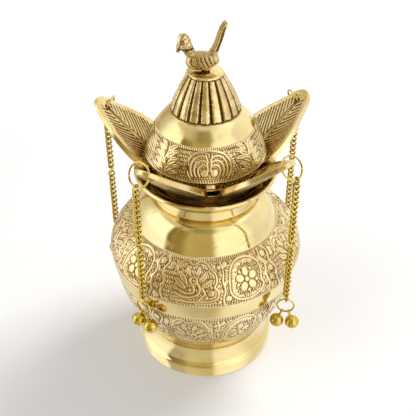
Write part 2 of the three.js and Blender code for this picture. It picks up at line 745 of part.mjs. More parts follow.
// A chain segment whose top link hangs on a wire through the origin and whose
// bottom link carries the next piece, each link turned to its own plane.
function chainSegment(length, topTurn, bottomTurn) {
  const overlap = LINK_WIRE / 4;
  const bottomTop = -length + linkDrop + riseOver(LINK_WIRE);
  const topLink = link.rotate([0, 0, topTurn]);
  const bottomLink = link.rotate([0, 0, bottomTurn]).translate([0, 0, linkDrop - length]);
  const run = chainRun(-linkDrop + overlap, bottomTop - overlap);
  return topLink.add(run).add(bottomLink);
}

// The bell hangs on a wire through the origin: a round shell with a slot across
// its underside and a wire eye soldered on top.
const bellDrop = BELL_EYE_LENGTH - BELL_EYE_WIRE - riseOver(BELL_EYE_WIRE) + BELL_RADIUS;

function bellSolid() {
  const outer = solidOf(new THREE.SphereGeometry(BELL_RADIUS, 10, 6).rotateX(Math.PI / 2));
  const bore = BELL_RADIUS - BELL_WALL;
  const inner = solidOf(new THREE.SphereGeometry(bore, 8, 4).rotateX(Math.PI / 2));
  const slot = new THREE.BoxGeometry(3 * BELL_RADIUS, BELL_SLOT_WIDTH, BELL_RADIUS);
  const cut = solidOf(slot.translate(0, 0, -BELL_RADIUS * 0.8));
  const shellOnly = outer.subtract(inner).subtract(cut).translate([0, 0, -bellDrop]);
  return shellOnly.add(ovalEye(BELL_EYE_WIDTH, BELL_EYE_LENGTH, BELL_EYE_WIRE, 8));
}

const bell = bellSolid();
const pellet = solidOf(new THREE.IcosahedronGeometry(PELLET_RADIUS, 0));
const topRing = wireRing(TOP_RING_RADIUS, RING_WIRE, 16, 4);
const charmRing = wireRing(CHARM_RING_RADIUS, RING_WIRE, 12, 4).rotate([0, 0, QUARTER_TURN]);

// A hanging set is built in a frame at its leaf's hole: Z up and Y along the
// line in which the ring's plane is level.
function hangingSet(azimuth, place, number) {
  const set = new THREE.Group();
  set.rotation.z = deg(azimuth + place.side * place.swing);
  set.position.set(holeRadius * Math.cos(deg(azimuth)), holeRadius * Math.sin(deg(azimuth)), 0);
  set.position.z = holeHeight;
  crown.add(set);
  const outward = new THREE.Vector3(0, place.side, 0);
  const steep = new THREE.Vector3(-Math.sin(deg(place.lean)), 0, Math.cos(deg(place.lean)));
  const centre = outward
    .clone()
    .multiplyScalar(TOP_RING_RADIUS * Math.cos(deg(place.turn)))
    .addScaledVector(steep, -TOP_RING_RADIUS * Math.sin(deg(place.turn)));
  const ring = addPiece(set, `top_ring_${number}`, topRing, GILT_WIRE);
  const across = new THREE.Vector3().crossVectors(steep, outward);
  ring.setRotationFromMatrix(new THREE.Matrix4().makeBasis(outward, across, steep));
  ring.position.copy(centre);

  const hang = new THREE.Group();
  hang.position.copy(centre).addScaledVector(steep, -TOP_RING_RADIUS);
  set.add(hang);
  const half = CHAIN_LENGTHS[number - 1] / 2;
  const upper = chainSegment(half, 0, QUARTER_TURN + place.twist);
  addPiece(hang, `chain_${number}_upper`, upper, GILT_WIRE);
  const lower = new THREE.Group();
  lower.position.z = -half;
  lower.rotation.z = deg(place.twist);
  hang.add(lower);
  addPiece(lower, `chain_${number}_lower`, chainSegment(half, 0, 0), GILT_WIRE);

  const charms = new THREE.Group();
  charms.position.z = -half;
  lower.add(charms);
  const charmCentre = riseOver(LINK_WIRE) - CHARM_RING_RADIUS;
  addPiece(charms, `charm_ring_${number}`, charmRing, GILT_WIRE).position.z = charmCentre;
  for (const [label, side] of [["a", -1], ["b", 1]]) {
    const holder = new THREE.Group();
    const angle = deg(BELL_EYE_ANGLE);
    const eyeOut = CHARM_RING_RADIUS * Math.sin(angle);
    holder.position.set(0, side * eyeOut, charmCentre - CHARM_RING_RADIUS * Math.cos(angle));
    holder.rotation.x = side * Math.asin((BELL_SPACING / 2 - eyeOut) / bellDrop);
    charms.add(holder);
    addPiece(holder, `bell_${number}_${label}`, bell, GILT_WIRE);
    const ball = addPiece(holder, `pellet_${number}_${label}`, pellet, STEEL);
    const rest = BELL_RADIUS - BELL_WALL - PELLET_RADIUS - SEAT_GAP;
    ball.position.z = -bellDrop - rest * 0.92;
  }
}

RING_PLACES.forEach((place, i) => hangingSet(LEAF_AZIMUTHS[i], place, i + 1));

export default kalash;
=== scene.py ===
"""A brass kalash with a crown of mango leaves, a metal coconut and bell chains.

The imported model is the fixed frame. Each sub-assembly is a class that models its
pieces with Blender's operators, dresses them and lets them ride on their bodies.
Sizes are millimetres where they are named and metres in the meshes.
"""

import json
import logging
import math
from collections.abc import Callable, Sequence
from dataclasses import dataclass
from enum import Enum

import bpy
import numpy as np
from mathutils import Matrix, Vector


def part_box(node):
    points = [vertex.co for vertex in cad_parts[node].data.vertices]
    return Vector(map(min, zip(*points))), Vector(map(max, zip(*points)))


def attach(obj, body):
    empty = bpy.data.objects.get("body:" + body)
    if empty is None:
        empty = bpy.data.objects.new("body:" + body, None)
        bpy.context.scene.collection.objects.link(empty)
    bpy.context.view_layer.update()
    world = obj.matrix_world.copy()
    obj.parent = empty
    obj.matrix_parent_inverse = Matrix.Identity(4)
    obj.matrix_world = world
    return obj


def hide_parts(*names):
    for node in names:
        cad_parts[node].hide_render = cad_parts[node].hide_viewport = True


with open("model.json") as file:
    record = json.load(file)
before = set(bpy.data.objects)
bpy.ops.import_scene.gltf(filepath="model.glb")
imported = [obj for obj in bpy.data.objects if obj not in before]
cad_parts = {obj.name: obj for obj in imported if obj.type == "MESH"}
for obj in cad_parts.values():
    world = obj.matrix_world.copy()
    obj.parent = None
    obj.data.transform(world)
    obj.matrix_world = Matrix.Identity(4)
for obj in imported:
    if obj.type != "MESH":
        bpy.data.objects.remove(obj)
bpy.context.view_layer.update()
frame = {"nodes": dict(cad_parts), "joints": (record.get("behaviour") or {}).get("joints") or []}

MM = 0.001
TINY = 1e-9
ON_AXIS = 0.01
QUARTER_TURN = math.pi / 2
Point = tuple[float, float]
Outline = Sequence[Point]
Colour = tuple[float, float, float]
Array = np.ndarray
Piece = bpy.types.Object
Material = bpy.types.Material
log = logging.getLogger("kalash")


class Face(Enum):
    """Which side of a leaf is meant."""

    INNER = 1
    OUTER = -1


# Curves


def spline(points: Outline, steps: int, closed: bool = False) -> list[Point]:
    """Runs a smooth curve through points.

    Args:
        points: The points that it passes.
        steps: Pieces between two neighbouring points.
        closed: Whether the last point joins the first.

    Returns:
        Points on the curve, the given ones among them.
    """
    knots = [Vector((*p, 0)) for p in points]
    count = len(knots)
    spans = count if closed else count - 1
    found: list[Point] = []
    for i in range(spans):
        before = knots[(i - 1) % count] if closed or i else knots[0] * 2 - knots[1]
        start, end = knots[i], knots[(i + 1) % count]
        last = not closed and i + 2 >= count
        after = end * 2 - start if last else knots[(i + 2) % count]
        for k in range(steps):
            t = k / steps
            place = 0.5 * (
                2 * start
                + (end - before) * t
                + (2 * before - 5 * start + 4 * end - after) * t**2
                + (3 * start - before - 3 * end + after) * t**3
            )
            found.append((place.x, place.y))
    found.append(tuple(knots[0 if closed else -1][:2]))
    return found


def travelled(line: Array) -> Array:
    """Measures how far along a line each of its points lies."""
    return np.concatenate([[0], np.cumsum(np.linalg.norm(np.diff(line, axis=0), axis=1))])


def lefts(line: Array) -> Array:
    """Finds the way to a line's left at each of its points.

    Args:
        line: The line's points.

    Returns:
        One direction of length 1 for each point.
    """
    run = np.gradient(line, axis=0)
    run /= np.maximum(np.linalg.norm(run, axis=1), TINY)[:, None]
    return np.stack([-run[:, 1], run[:, 0]], axis=1)


def resample(points: Outline, pitch: float) -> list[Point]:
    """Spaces points evenly along a line.

    Args:
        points: The line.
        pitch: The wanted distance between points.

    Returns:
        The evenly spaced points, both ends kept.
    """
    line = np.array(points, float)
    along = travelled(line)
    count = max(int(round(along[-1] / pitch)), 1)
    at = np.linspace(0, along[-1], count + 1)
    return list(zip(np.interp(at, along, line[:, 0]), np.interp(at, along, line[:, 1])))


def inset(points: Outline, wall: float) -> list[Point]:
    """Moves an upward outline inwards by a wall.

    Args:
        points: (radius, height) points that run upwards.
        wall: The thickness.

    Returns:
        The moved points, in the same order.
    """
    line = np.array(points, float)
    moved = line + wall * lefts(line)
    moved[:, 0] = np.maximum(moved[:, 0], 0)
    moved[0, 1], moved[-1, 1] = line[0, 1], line[-1, 1]
    return [tuple(p) for p in moved]


def walled(points: Outline, wall: float, thin: int = 1) -> list[Point]:
    """Closes an outline with its inner side.

    Args:
        points: The outer side, running upwards.
        wall: The wall's thickness.
        thin: Keep only every so many points of the inner side.

    Returns:
        A closed outline whose last point is its first.
    """
    inner = inset(points, wall)
    kept = inner[::thin] + ([] if (len(inner) - 1) % thin == 0 else [inner[-1]])
    return [*points, *reversed(kept), points[0]]


# Modelling by operators


class Bench:
    """Blender's modelling operators on one piece at a time."""

    WELD = 2e-6

    @staticmethod
    def pick(*pieces: Piece) -> None:
        """Selects only these pieces and makes the first one active."""
        bpy.ops.object.select_all(action="DESELECT")
        for piece in pieces:
            piece.select_set(True)
        bpy.context.view_layer.objects.active = pieces[0]

    @staticmethod
    def edit(mode: str = "VERT") -> None:
        """Opens the active piece in edit mode with all of it selected."""
        bpy.ops.object.mode_set(mode="EDIT")
        bpy.ops.mesh.select_mode(type=mode)
        bpy.ops.mesh.select_all(action="SELECT")

    @staticmethod
    def close() -> Piece:
        """Leaves edit mode and returns the active piece."""
        bpy.ops.object.mode_set(mode="OBJECT")
        return bpy.context.active_object

    @staticmethod
    def start(name: str) -> Piece:
        """Names the primitive that was just added."""
        piece = bpy.context.active_object
        piece.name = name
        piece.data.name = name
        return piece

    @classmethod
    def add(cls, operator: Callable[..., set[str]], name: str, **settings: object) -> Piece:
        """Adds a primitive with nothing else selected and names it.

        Args:
            operator: Blender's operator for the primitive.
            name: The piece's name.
            settings: The operator's own settings.

        Returns:
            The piece, with its place in its mesh.
        """
        bpy.ops.object.select_all(action="DESELECT")
        operator(**settings)
        bpy.ops.object.transform_apply(location=True, rotation=True, scale=True)
        return cls.start(name)

    @classmethod
    def lathe(cls, name: str, outline: Outline, steps: int, sectors: int = 1) -> Piece:
        """Draws an outline by extruding one vertex and spins it round the axis.

        Args:
            name: The piece's name.
            outline: (radius, height) points in millimetres.
            steps: Segments of a whole turn.
            sectors: Equal parts of the turn, of which only the first is spun.

        Returns:
            The spun piece, its faces outwards, or an open sector.
        """
        cls.add(bpy.ops.mesh.primitive_plane_add, name, size=MM)
        cls.edit()
        bpy.ops.mesh.merge(type="CENTER")
        spots = [Vector((r * MM, 0, z * MM)) for r, z in outline]
        bpy.ops.transform.translate(value=spots[0])
        for here, there in zip(spots, spots[1:]):
            bpy.ops.mesh.extrude_region_move(TRANSFORM_OT_translate={"value": there - here})
        bpy.ops.mesh.select_all(action="SELECT")
        sweep = 2 * math.pi / sectors
        bpy.ops.mesh.spin(steps=steps // sectors, angle=sweep, center=(0, 0, 0), axis=(0, 0, 1))
        return cls.tidy() if sectors == 1 else cls.close()

    @classmethod
    def close_round(cls, sector: Piece, count: int) -> None:
        """Copies a sector round the axis and merges the copies into a whole ring.

        Args:
            sector: The sector, which becomes the ring.
            count: How many make the ring.
        """
        name = sector.name
        turns = [Matrix.Rotation(2 * math.pi * k / count, 4, "Z") for k in range(1, count)]
        cls.join(name, [sector, *[cls.copy(sector, name, turn) for turn in turns]])
        cls.edit()
        cls.tidy()

    @classmethod
    def tidy(cls) -> Piece:
        """Merges the open piece's doubles, turns its faces outwards and closes it."""
        bpy.ops.mesh.select_all(action="SELECT")
        bpy.ops.mesh.remove_doubles(threshold=cls.WELD)
        bpy.ops.mesh.normals_make_consistent(inside=False)
        return cls.close()

    @classmethod
    def wire_ring(
        cls, name: str, radius: float, wire: float, steps: int, sides: int, gap: float
    ) -> Piece:
        """Spins a wire's section round Z, with a small gap at its joint.

        Args:
            name: The piece's name.
            radius: From the centre to the wire's middle.
            wire: The wire's diameter.
            steps: Segments round the ring.
            sides: Segments round the wire.
            gap: The opening at the joint in degrees, centred on -X.

        Returns:
            The ring, flat in XY about the origin.
        """
        piece = cls.add(
            bpy.ops.mesh.primitive_circle_add,
            name,
            vertices=sides,
            radius=wire / 2 * MM,
            location=(radius * MM, 0, 0),
            rotation=(QUARTER_TURN, 0, 0),
            fill_type="NGON",
        )
        piece.data.transform(Matrix.Rotation(math.radians(-180 + gap / 2), 4, "Z"))
        cls.edit()
        sweep = math.radians(360 - gap)
        bpy.ops.mesh.spin(steps=steps, angle=-sweep, center=(0, 0, 0), axis=(0, 0, 1))
        return cls.tidy()

    @classmethod
    def modifier(cls, piece: Piece, kind: str, **settings: object) -> None:
        """Adds a modifier with its settings and applies it."""
        cls.pick(piece)
        added = piece.modifiers.new(kind.title(), kind)
        for key, value in settings.items():
            setattr(added, key, value)
        bpy.ops.object.modifier_apply(modifier=added.name)

    @staticmethod
    def drop(*pieces: Piece) -> None:
        """Throws pieces away."""
        for piece in pieces:
            bpy.data.objects.remove(piece, do_unlink=True)

    @classmethod
    def cut(cls, piece: Piece, *tools: Piece) -> None:
        """Cuts tools out of a piece and throws the tools away."""
        for tool in tools:
            cls.modifier(piece, "BOOLEAN", operation="DIFFERENCE", object=tool, solver="EXACT")
            cls.drop(tool)

    @classmethod
    def reshape(cls, piece: Piece, places: Array) -> None:
        """Moves a piece's vertices, merges doubles and turns its faces outwards."""
        put_corners(piece, places)
        cls.pick(piece)
        cls.edit()
        cls.tidy()

    @classmethod
    def join(cls, name: str, pieces: Sequence[Piece]) -> Piece:
        """Joins pieces into the first one and renames it."""
        cls.pick(*pieces)
        bpy.ops.object.join()
        return cls.start(name)

    @classmethod
    def copy(cls, piece: Piece, name: str, place: Matrix) -> Piece:
        """Copies a piece with its own mesh and puts the place into that mesh.

        Args:
            piece: What is copied.
            name: The copy's name.
            place: Where it goes.

        Returns:
            The copy.
        """
        twin = piece.copy()
        twin.data = piece.data.copy()
        bpy.context.scene.collection.objects.link(twin)
        twin.name = name
        twin.data.name = name
        twin.data.transform(place)
        if place.determinant() < 0:
            twin.data.flip_normals()
        return twin

    @classmethod
    def soften(cls, piece: Piece, angle: float = 35) -> Piece:
        """Shades a piece smooth below an angle in degrees."""
        cls.pick(piece)
        bpy.ops.object.shade_smooth_by_angle(angle=math.radians(angle))
        return piece


def corners(piece: Piece) -> Array:
    """Reads a piece's vertices in millimetres."""
    flat = np.zeros(len(piece.data.vertices) * 3)
    piece.data.vertices.foreach_get("co", flat)
    return flat.reshape(-1, 3) / MM


def put_corners(piece: Piece, places: Array) -> None:
    """Writes a piece's vertices back from millimetres."""
    piece.data.vertices.foreach_set("co", (places * MM).ravel())
    piece.data.update()


def press_in(places: Array, radius: Array, push: Array) -> None:
    """Moves vertices towards the axis, each by its own push."""
    places[:, :2] *= ((radius - push) / np.maximum(radius, TINY))[:, None]


def note(piece: Piece, name: str, values: Array | float) -> None:
    """Keeps one number for each vertex, which a material reads by name."""
    made = piece.data.attributes.new(name, "FLOAT", "POINT")
    wide = np.broadcast_to(values, len(piece.data.vertices))
    made.data.foreach_set("value", wide.astype(np.float32))


def ease(low: float, high: float, values: Array) -> Array:
    """Rises smoothly from 0 at low to 1 at high."""
    share = np.clip((values - low) / (high - low), 0, 1)
    return share * share * (3 - 2 * share)


# Relief drawn on a flat strip


class Relief:
    """Low relief on one repeat of a band: 0 on the ground, 1 on the ornament.

    Args:
        width: The repeat's length round the band in millimetres.
        height: The band's height in millimetres.
    """

    GRID = 0.15
    MARGIN = 14.0
    SOFT_EDGE = 0.2
    CREASE = 0.7
    STROKE = 0.95
    STROKE_LEVEL = 0.95

    def __init__(self, width: float, height: float) -> None:
        self.width, self.height = width, height
        self.columns = int(round(width / self.GRID))
        self.edge = int(round(self.MARGIN / self.GRID))
        rows = int(round(height / self.GRID))
        self.field = np.zeros((rows + 1, self.columns + 2 * self.edge))
        self.ticks_field = np.zeros_like(self.field)

    def _window(self, points: Array, reach: float) -> tuple[tuple[slice, slice], Array, Array]:
        """Finds the grid's part round some points.

        Args:
            points: The (u, v) points.
            reach: How far beyond them it goes.

        Returns:
            The part's row and column slices, and the u and v of its cells.
        """
        low = (points.min(0) - reach + [self.MARGIN, 0]) / self.GRID
        high = (points.max(0) + reach + [self.MARGIN, 0]) / self.GRID
        part = tuple(
            slice(max(int(low[k]), 0), max(min(int(high[k]) + 2, self.field.shape[1 - k]), 0))
            for k in (1, 0)
        )
        v, u = np.mgrid[part] * self.GRID
        return part, u - self.MARGIN, v

    def _lay(self, part: tuple[slice, slice], top: Array, ticks: bool = False) -> None:
        """Keeps the higher of a new form and what is there."""
        target = self.ticks_field if ticks else self.field
        target[part] = np.maximum(target[part], top)

    def ridge(
        self, points: Outline, width: float, level: float = 1, ticks: bool = False
    ) -> None:
        """Raises a flat-topped line.

        Args:
            points: The line's points.
            width: Its width.
            level: Its height.
            ticks: Whether it belongs to the ground's short strokes.
        """
        line = np.array(points, float)
        part, u, v = self._window(line, width)
        near = np.full(u.shape, np.inf)
        for a, b in zip(line, line[1:]):
            span = b - a
            size = max(float(span @ span), TINY)
            share = np.clip(((u - a[0]) * span[0] + (v - a[1]) * span[1]) / size, 0, 1)
            gap = np.hypot(u - a[0] - share * span[0], v - a[1] - share * span[1])
            near = np.minimum(near, gap)
        top = level * (1 - ease(width / 2 - 0.22, width / 2 + self.SOFT_EDGE, near))
        self._lay(part, top, ticks)

    def curve(self, points: Outline, width: float, closed: bool = False) -> None:
        """Raises a smooth line through points."""
        self.ridge(spline(points, 5, closed), width)

    def boss(
        self, centre: Point, radius: float, tall: float = 0, turn: float = 0, level: float = 1
    ) -> None:
        """Raises a low dome.

        Args:
            centre: Its middle.
            radius: Half its width.
            tall: Half its height, if it isn't round.
            turn: Degrees that it is turned by.
            level: Its height.
        """
        tall = tall or radius
        part, u, v = self._window(np.array([centre], float), max(radius, tall) + 0.5)
        c, s = math.cos(math.radians(turn)), math.sin(math.radians(turn))
        x, y = u - centre[0], v - centre[1]
        near = np.hypot((c * x + s * y) / radius, (c * y - s * x) / tall)
        dome = 0.78 + 0.22 * np.sqrt(np.clip(1 - near**2, 0, 1))
        soft = 0.25 / min(radius, tall)
        self._lay(part, level * dome * (1 - ease(1 - soft, 1 + soft, near)))

    def petal(self, root: Point, tip: Point, width: float, bend: float = 0) -> None:
        """Raises a pointed leaf with a crease along its middle.

        Args:
            root: Where it starts.
            tip: Where it ends.
            width: Its widest.
            bend: How far its middle bows sideways.

        """
        a, b = np.array(root, float), np.array(tip, float)
        along, length = b - a, float(np.linalg.norm(b - a))
        part, u, v = self._window(np.array([a, b]), width + abs(bend))
        e = along / length
        x = (u - a[0]) * e[0] + (v - a[1]) * e[1]
        share = np.clip(x / length, 0, 1)
        y = (v - a[1]) * e[0] - (u - a[0]) * e[1] - bend * 4 * share * (1 - share)
        half = width / 2 * np.sin(math.pi * share**0.8) ** 0.8
        inside = 1 - ease(-self.SOFT_EDGE, self.SOFT_EDGE, np.abs(y) - half)
        inside *= (x > 0) * (x < length)
        crease = (1 - ease(0.15, 0.4, np.abs(y))) * ease(0.1, 0.3, share)
        self._lay(part, inside * (1 - self.CREASE * crease))

    def fan(self, points: Outline, pitch: float, start: float, length: float) -> None:
        """Sets short strokes across a line, on its left side.

        Args:
            points: The line.
            pitch: The distance between strokes.
            start: How far from the line each starts.
            length: How long each is.
        """
        line = np.array(resample(points, pitch))
        for i, (spot, way) in enumerate(zip(line, lefts(line))):
            reach = start + length * (0.8 + 0.2 * math.sin(i * 2.4))
            stroke = [spot + start * way, spot + reach * way]
            self.ridge(stroke, self.STROKE, self.STROKE_LEVEL, ticks=True)

    def hatch(self, pitch: float, length: float, seed: int) -> None:
        """Fills the ground with rows of short slanted strokes.

        Args:
            pitch: The strokes' distance.
            length: How long each is.
            seed: What fixes their jitter.
        """
        rng = np.random.default_rng(seed)
        for row, v in enumerate(np.arange(2.6, self.height - length - 2, length + 1.1)):
            for u in np.arange(0, self.width, pitch):
                start = np.array([u, v]) + rng.uniform(-0.16, 0.16, 2)
                lean = 0.45 * (-1) ** row * length
                self.ridge([start, start + [lean, length]], 0.85, 0.9, ticks=True)

    def _folded(self, field: Array) -> Array:
        """Folds a field's margins into the repeat's other end."""
        body = field[:, self.edge : self.edge + self.columns].copy()
        end = self.edge + self.columns
        body[:, : self.edge] = np.maximum(body[:, : self.edge], field[:, end:])
        body[:, -self.edge :] = np.maximum(body[:, -self.edge :], field[:, : self.edge])
        return body

    def finish(self) -> None:
        """Folds the margins in and keeps the ground's strokes clear of the ornament."""
        ornament = self._folded(self.field)
        wide = ornament.copy()
        for _ in range(3):
            grown = wide.copy()
            for axis in (0, 1):
                for way in (-1, 1):
                    grown = np.maximum(grown, np.roll(wide, way, axis))
            wide = grown
        strokes = self._folded(self.ticks_field) * (1 - ease(0.1, 0.5, wide))
        self.cell = np.maximum(ornament, strokes)

    def sample(self, around: Array, up: Array) -> Array:
        """Reads heights.

        Args:
            around: Shares of the repeat, which wrap round.
            up: Shares of the height from 0 to 1.

        Returns:
            The heights.
        """
        x = (around % 1) * self.columns
        y = np.clip(up, 0, 1) * (self.cell.shape[0] - 1)
        x0, y0 = np.floor(x).astype(int), np.floor(y).astype(int)
        fx, fy = x - x0, y - y0
        x0, x1 = x0 % self.columns, (x0 + 1) % self.columns
        y1 = np.minimum(y0 + 1, self.cell.shape[0] - 1)
        low = self.cell[y0, x0] * (1 - fx) + self.cell[y0, x1] * fx
        high = self.cell[y1, x0] * (1 - fx) + self.cell[y1, x1] * fx
        return low * (1 - fy) + high * fy


def medallion_cell() -> Relief:
    """Draws the belly's repeat: a bird medallion, a flower medallion and sprays."""
    cell = Relief(82, 34)
    lobes = [
        (-8.6, 5.2), (-14.2, 5.6), (-17.2, 10.9), (-15.8, 13.4), (-17.2, 18.4), (-15.8, 23.4),
        (-12.2, 24.4), (-12, 27.2), (-9.4, 30.2), (-5, 31.2), (-0.8, 29), (4.4, 31.4),
        (9.7, 30.2), (12.6, 26.2), (16, 22.8), (16.3, 17.6), (14.6, 15.2), (17.2, 11.6),
        (16.3, 7.4), (12.2, 5.6), (4.6, 5.4), (-1.4, 4.6),
    ]
    ring = spline(lobes, 4, closed=True)
    cell.ridge(ring, 1.55)
    cell.fan(ring, 1.65, 1.25, 2.6)
    cell.fan(ring[::-1], 1.7, 1.25, 1.5)
    turns = np.arange(0, 6.2, 0.8)
    head = [(0.5 + 2.3 * math.cos(a), 18.9 + 2.3 * math.sin(a)) for a in turns]
    cell.curve(head, 1.25, closed=True)
    back = [(2.7, 17.9), (4.6, 15), (4.5, 11.9), (2, 9.3), (-2.4, 7.9), (-6.4, 8.1), (-10.4, 9.4)]
    cell.curve(back, 1.5)
    cell.curve([(-1.4, 17.2), (0.8, 14.6), (0.9, 12), (-1.2, 10.9), (-4.6, 10.8), (-8.4, 12)], 1.4)
    cell.curve([(6.4, 14.2), (8.3, 11.2), (5.9, 8.2), (4.4, 6.4)], 1.3)
    for u, v, r in ((0.5, 18.9, 0.7), (-1.9, 12.9, 1.0), (9.4, 7.9, 1.1), (37.8, 16.6, 1.6)):
        cell.boss((u, v), r)
    for root, tip, width, bow in (
        ((-4.4, 13.6), (-12.6, 20.4), 3.4, 0.8),
        ((-3.6, 16.6), (-10, 25.4), 3.2, 0.7),
        ((-2.2, 21.4), (-4.6, 29), 3.0, 0.5),
        ((2.4, 21.8), (4.8, 29.2), 3.0, -0.5),
        ((4.2, 18.4), (10.6, 26), 3.2, -0.7),
        ((5.8, 15.2), (14, 20.4), 3.4, -0.8),
        ((-9, 12.4), (-15.2, 14.8), 2.2, 0.3),
        ((-9.6, 10.2), (-14.8, 8.2), 2.2, -0.3),
    ):
        cell.petal(root, tip, width, bow)
    cell.boss((12.3, 11), 2.2, 1.9)
    arch = [(25, 11), (25.2, 17), (26.6, 23.6), (29.7, 28.1), (34.1, 30.6), (40.4, 31.2)]
    hook = [(46, 29.6), (49.4, 25.8), (50, 19.6), (48.4, 14), (49.4, 9.8), (46.4, 5.6)]
    foot = [(25, 11), (26.9, 7.6), (30.6, 4.6), (36, 3.2), (41.4, 3.6), hook[-1]]
    arch, hook, foot = (spline(line, 4) for line in ([*arch, hook[0]], hook, foot))
    for line in (arch, hook, foot):
        cell.ridge(line, 1.5)
    cell.fan(arch, 1.65, 1.25, 2.6)
    cell.fan(hook, 1.7, 1.2, 2.2)
    cell.fan(arch[::-1], 1.5, 1.2, 3.4)
    cell.fan(foot, 1.7, 1.2, 1.6)
    for k in range(5):
        for turn, out, rise, size in (
            (72 * k + 20, 5.2, 5.2, (3.0, 2.45, 72 * k + 20)),
            (72 * k + 56, 7.4, 7.2, (1.15,)),
        ):
            c, s = math.cos(math.radians(turn)), math.sin(math.radians(turn))
            cell.boss((37.8 + out * c, 16.6 + rise * s), *size)
    cell.curve([(21, 1.5), (20.4, 7), (21.8, 12.6), (20.6, 18.4), (21.6, 24), (20.2, 31)], 1.5)
    for v, side in ((5, 1), (10.6, -1), (15.4, 1), (21, -1), (26.4, 1)):
        cell.petal((21 + side, v), (21 + 3.6 * side, v + 3.8), 2.2, 0.3 * side)
    cell.curve([(52.6, 2), (54.2, 8), (53, 14.4), (55, 20.8), (53.6, 26.6), (55.4, 31.6)], 1.5)
    cell.curve([(63.2, 1.6), (60.8, 8), (62.2, 15), (59.8, 21.8), (62.2, 27.6), (60.6, 32)], 1.5)
    for u, v, r in (
        (57.4, 27.6, 2.3), (57.6, 4.6, 2.5), (58, 16.8, 1.9), (24.2, 6.2, 1.7), (23.8, 29, 1.9),
    ):
        cell.boss((u, v), r)
    for u, v, side in ((56, 11, 1), (57, 22, -1), (54.6, 25.2, -1), (60.6, 11.8, 1)):
        cell.petal((u, v - 2), (u + 2.2 * side, v + 3), 2.4, 0.3)
    return medallion_ends(cell)


def medallion_ends(cell: Relief) -> Relief:
    """Fills the gaps beside a medallion and adds the border rows.

    Args:
        cell: The repeat to complete.

    Returns:
        The completed repeat.
    """
    for u, v, r in (
        (64.8, 24.8, 1.7), (-16.4, 27.6, 1.9), (-16.6, 3.4, 1.6), (18.6, 27.2, 1.5),
        (17.8, 4.2, 1.4),
    ):
        cell.boss((u % cell.width, v), r)
    for v in range(4, 30, 5):
        cell.petal((50.8, v), (52.6, v + 3.6), 1.8)
    cell.hatch(1.7, 1.9, 3)
    border(cell)
    cell.finish()
    return cell


def border(cell: Relief, size: float = 1.6, pitch: float = 1.75) -> None:
    """Sets a row of short upright strokes along both edges of a band.

    Args:
        cell: The repeat.
        size: The strokes' length.
        pitch: Their distance.
    """
    count = int(cell.width / pitch)
    for k in range(count):
        u = (k + 0.5) * cell.width / count
        for low, high in ((0.5, 0.5 + size), (cell.height - 0.5 - size, cell.height - 0.5)):
            cell.ridge([(u, low), (u, high)], 1.0, cell.STROKE_LEVEL)


def palmette_cell() -> Relief:
    """Draws the coconut's repeat: a palmette with two discs and a leafy stem."""
    cell = Relief(60.5, 24)
    for side in (-1, 1):
        cell.boss((3.2 * side, 7.0), 2.5, level=0.95)
        for curl in (
            [(0.9, 8.6), (1.1, 11), (2.6, 12.5), (5, 12.3), (6.8, 10.4), (7.2, 7.6), (6.2, 4.8)],
            [(1, 11.6), (1.6, 14.2), (3.8, 15.6), (7, 14.8), (9.2, 11.8), (9.6, 7.8), (8.4, 4.4)],
            [(0.9, 14.8), (2, 17.4), (5, 18.6), (9, 17.2), (11.6, 13), (12, 8), (10.8, 4.2)],
        ):
            cell.curve([(u * side, v) for u, v in curl], 1.2)
        hood = spline([(0, 22), (5.6, 21.2), (11.2, 18.8), (14.4, 13), (14.2, 7), (11.8, 2.6)], 5)
        hood = [(u * side, v) for u, v in hood]
        cell.ridge(hood, 1.35)
        cell.fan(hood if side > 0 else hood[::-1], 1.5, 1.1, 2.0)
        for k in range(4):
            v = 2.8 + 4.7 * k
            stem = 30.2 + 0.8 * math.sin(k * 1.9)
            cell.petal((stem + side, v), (stem + 8.2 * side, v + 5.4), 3.6, 0.9 * side)
            cell.petal((stem + 3.4 * side, v - 0.4), (stem + 12 * side, v + 1.4), 2.6, 1.0 * side)
        for k in range(3):
            root = 16.6 + 1.9 * k
            blade = ((root, 1.6), (root + 1.2, 4.6), (root + 0.4, 7.6))
            cell.curve([(u * side, v) for u, v in blade], 1)
    cell.curve([(30.2, 1.6), (31, 6), (29.6, 11.6), (30.8, 16.6), (30.2, 22)], 1.3)
    for k in (-1, 0, 1):
        cell.ridge([(1.6 * k, 17.6), (2.4 * k, 20)], 0.9, 0.9)
    cell.hatch(1.5, 1.6, 5)
    border(cell, 1.5, 1.6)
    cell.finish()
    return cell


# Materials


class Signal:
    """A node's output that takes part in Python's arithmetic."""

    def __init__(self, mix: "Mixture", socket: bpy.types.NodeSocket | None) -> None:
        self.mix, self.socket = mix, socket

    def __add__(self, other: object) -> "Signal":
        """Adds a value."""
        return self.mix.math("ADD", self, other)

    __radd__ = __add__

    def __sub__(self, other: object) -> "Signal":
        """Takes a value away."""
        return self.mix.math("SUBTRACT", self, other)

    def __rsub__(self, other: object) -> "Signal":
        """Is taken away from a value."""
        return self.mix.math("SUBTRACT", other, self)

    def __mul__(self, other: object) -> "Signal":
        """Multiplies by a value."""
        return self.mix.math("MULTIPLY", self, other)

    __rmul__ = __mul__

    def __pow__(self, other: object) -> "Signal":
        """Raises to a power."""
        return self.mix.math("POWER", self, other)

    def rise(self, low: float, high: float, start: float = 0, end: float = 1) -> "Signal":
        """Maps a range smoothly onto another.

        Args:
            low: Where it starts to change.
            high: Where it stops.
            start: The value up to low.
            end: The value from high on.

        Returns:
            The mapped value.
        """
        return self.mix.node(
            "ShaderNodeMapRange",
            {"interpolation_type": "SMOOTHSTEP"},
            {0: self, 1: low, 2: high, 3: start, 4: end},
        )


def opaque(colour: object) -> object:
    """Gives a plain colour its alpha and leaves anything else as it is."""
    return (*colour, 1) if isinstance(colour, tuple) and len(colour) == 3 else colour


